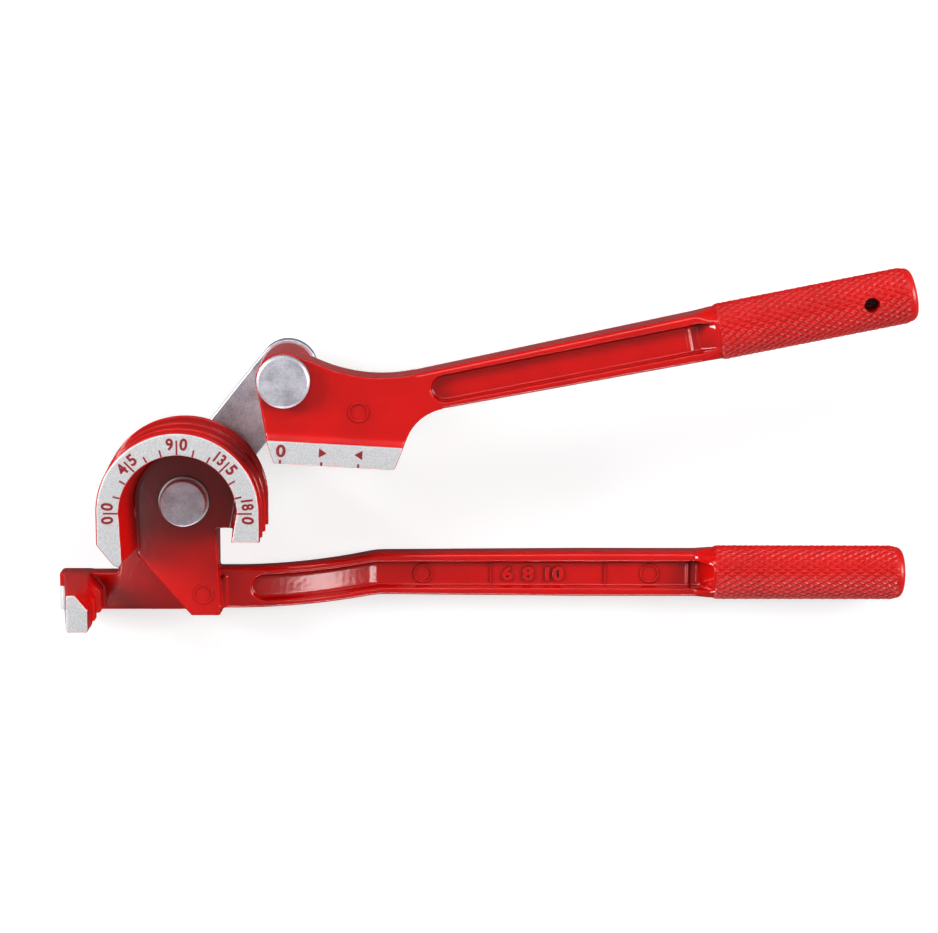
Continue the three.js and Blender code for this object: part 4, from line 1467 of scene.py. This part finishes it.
class BuildLowerCasting(bpy.types.Operator):
    """Casts the lower lever: die, web, arm, hook, handle and grip in one skin"""

    bl_idname = "bender.lower_casting"
    bl_label = "Lower casting"

    def execute(self, context):
        casting = context.scene.bender_casting
        skin = fuse([die(), web(), *arm(), hook(), lower_handle()], casting.voxel, casting.passes)
        shade(skin, CAST_CREASE)
        grip_y = lower_bar_at(LOWER_GRIP_START)[0]
        sleeve = knurled_sleeve(
            LOWER_GRIP_START, grip_y + LOWER_GRIP_RISE, GRIP_RADIUS, context.scene.bender_grips, False,
        )
        set_material(sleeve, enamelled_grip("enamelled_grip_lower", casting.red))
        merge(skin, [ejector_mark(*WEB_EJECTOR, FLOOR_FRONT), *channel_marks(grip_y)])
        skin.name = "lower_casting_enamelled"

        # The hook's left flank is ground bare below its shoulder. The plane slopes as the hook's side does.
        along = Vector((HOOK_LEFT_BACK - HOOK_LEFT_FRONT, 0, CASTING_FRONT)).normalized()
        plane = Vector((-along.z, 0, along.x))
        reach = plane.dot(Vector((-HOOK_LEFT_FRONT, 0, CASTING_FRONT)))
        flank = (plane, reach * MM, -HOOK_SHOULDER * MM)
        set_material(skin, enamelled_casting(
            "enamelled_aluminium_lower", casting.red, casting.bare, CASTING_FRONT * MM, flank,
        ))
        merge(skin, [sleeve])
        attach(skin, "lower_body")
        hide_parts("lower_casting")
        return {"FINISHED"}


class BuildUpperCasting(bpy.types.Operator):
    """Casts the upper lever: eye, forming shoe, handle and grip in one skin"""

    bl_idname = "bender.upper_casting"
    bl_label = "Upper casting"

    def execute(self, context):
        casting = context.scene.bender_casting
        eye = disc("eye", EYE_RADIUS, CASTING_BACK, PLATE_FRONT)
        bored = [cut(part, [bore(CASTING_BACK, CASTING_FRONT)]) for part in (plate(), shoe_back(), eye)]
        skin = fuse([*bored, *block(), upper_handle()], casting.voxel, casting.passes)
        shade(skin, CAST_CREASE)
        sleeve = knurled_sleeve(UPPER_GRIP_START, 0, UPPER_GRIP_Z, context.scene.bender_grips, True)
        move(sleeve, upper_axis_matrix())
        set_material(sleeve, enamelled_grip("enamelled_grip_upper", casting.red))
        merge(skin, [ejector_mark(*SHOE_EJECTOR, PLATE_FRONT)])
        skin.name = "upper_casting_enamelled"
        set_material(skin, enamelled_casting(
            "enamelled_aluminium_upper", casting.red, casting.bare, CASTING_FRONT * MM,
        ))
        merge(skin, [sleeve])
        move(skin, shoe_matrix())
        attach(skin, "upper_handle")
        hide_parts("upper_casting")
        return {"FINISHED"}


class BuildPins(bpy.types.Operator):
    """Turns both pivot pins and plates them"""

    bl_idname = "bender.pins"
    bl_label = "Pivot pins"

    def execute(self, context):
        metal = context.scene.bender_metal
        plating = zinc_plate("zinc_plated_steel_pins", metal.zinc, metal.zinc_dark, *PIN_ZINC)
        places = (
            ("main_pin", "lower_body", MAIN_HEAD_RADIUS, MAIN_HEAD_THICK, MAIN_HEAD_CHAMFER, Matrix()),
            ("shoe_pin", "upper_handle", SHOE_HEAD_RADIUS, SHOE_HEAD_THICK, SHOE_HEAD_CHAMFER,
             Matrix.Translation(SHOE_PIVOT)),
        )
        for node, body, radius, thick, chamfer, matrix in places:
            made = pin(node + "_turned", node, radius, thick, chamfer, matrix)
            shade(made, METAL_CREASE)
            set_material(made, plating)
            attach(made, body)
            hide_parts(node)
        return {"FINISHED"}


class BuildLink(bpy.types.Operator):
    """Punches the link plate, rounds its edges and plates it, and plates the washers"""

    bl_idname = "bender.link"
    bl_label = "Link and washers"

    def execute(self, context):
        metal = context.scene.bender_metal
        low, high = box_mm("link_plate")
        made = link_plate(low.z, high.z)
        shade(made, METAL_CREASE)
        set_material(made, zinc_plate("zinc_plated_steel_link", metal.zinc, metal.zinc_dark, *LINK_ZINC))
        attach(made, "link")
        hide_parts("link_plate")
        plating = zinc_plate("bright_zinc_washers", metal.bright, metal.bright_dark, *WASHER_ZINC)
        for node, packed in frame["nodes"].items():
            if node.endswith("washer"):
                set_material(packed, plating)
        return {"FINISHED"}


class BuildMarks(bpy.types.Operator):
    """Engraves the degree scale on the die and the three stops on the shoe, and fills them with paint"""

    bl_idname = "bender.marks"
    bl_label = "Engraved marks"

    def execute(self, context):
        paint = filled_paint("wiped_engraving_paint", context.scene.bender_metal.marks)
        back, front = CASTING_FRONT - ENGRAVED_DEPTH, CASTING_FRONT + PAINT_PROUD
        dial = degree_scale(back, front)
        dial.name = "degree_scale"
        set_material(dial, paint)
        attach(dial, "lower_body")

        stop_marks = move(shoe_stops(back, front), shoe_matrix())
        stop_marks.name = "shoe_stop_marks"
        set_material(stop_marks, paint)
        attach(stop_marks, "upper_handle")
        return {"FINISHED"}


class BuildStage(bpy.types.Operator):
    """Lays the white floor, hangs the lamps and sets the camera above the tool"""

    bl_idname = "bender.stage"
    bl_label = "Stage"

    def execute(self, context):
        settings = context.scene.bender_stage
        floor = floor_plane(settings.floor_size)
        set_material(floor, white_paper(settings.floor_glow))
        floor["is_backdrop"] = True
        context.scene.world = white_surround(settings.fill, settings.sheen)
        for name, place, size, share in LAMPS:
            area_lamp(name, place, size, settings.softbox_power * share)
        context.scene.camera = photo_camera()
        context.scene.view_settings.view_transform = "Standard"
        return {"FINISHED"}


class BenderPanel(bpy.types.Panel):
    """Lists the steps that dress the tube bender"""

    bl_idname = "VIEW3D_PT_bender"
    bl_label = "Tube Bender"
    bl_space_type = "VIEW_3D"
    bl_region_type = "UI"
    bl_category = "Tube Bender"

    def draw(self, context):
        for group in SETTINGS:
            settings = getattr(context.scene, group)
            for name in settings.__annotations__:
                self.layout.prop(settings, name)
        for operator in OPERATORS:
            self.layout.operator(operator.bl_idname)


SETTINGS = {
    "bender_casting": CastingSettings,
    "bender_grips": GripSettings,
    "bender_metal": MetalSettings,
    "bender_stage": StageSettings,
}
OPERATORS = (BuildLowerCasting, BuildUpperCasting, BuildPins, BuildLink, BuildMarks, BuildStage)


def register():
    for group in SETTINGS.values():
        bpy.utils.register_class(group)
    for name, group in SETTINGS.items():
        setattr(bpy.types.Scene, name, bpy.props.PointerProperty(type=group))
    for operator in OPERATORS:
        bpy.utils.register_class(operator)
    bpy.utils.register_class(BenderPanel)


def unregister():
    bpy.utils.unregister_class(BenderPanel)
    for operator in reversed(OPERATORS):
        bpy.utils.unregister_class(operator)
    for name in SETTINGS:
        delattr(bpy.types.Scene, name)
    for group in SETTINGS.values():
        bpy.utils.unregister_class(group)


def plain(box):
    """A box's two corners as plain lists of numbers."""
    return [[float(part) for part in corner] for corner in box]


def main():
    register()
    bpy.ops.bender.lower_casting()
    bpy.ops.bender.upper_casting()
    bpy.ops.bender.pins()
    bpy.ops.bender.link()
    bpy.ops.bender.marks()
    bpy.ops.bender.stage()
    {"cad": plain(CAD_BOX), "visual": plain(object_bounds())}


if __name__ == "__main__":
    main()
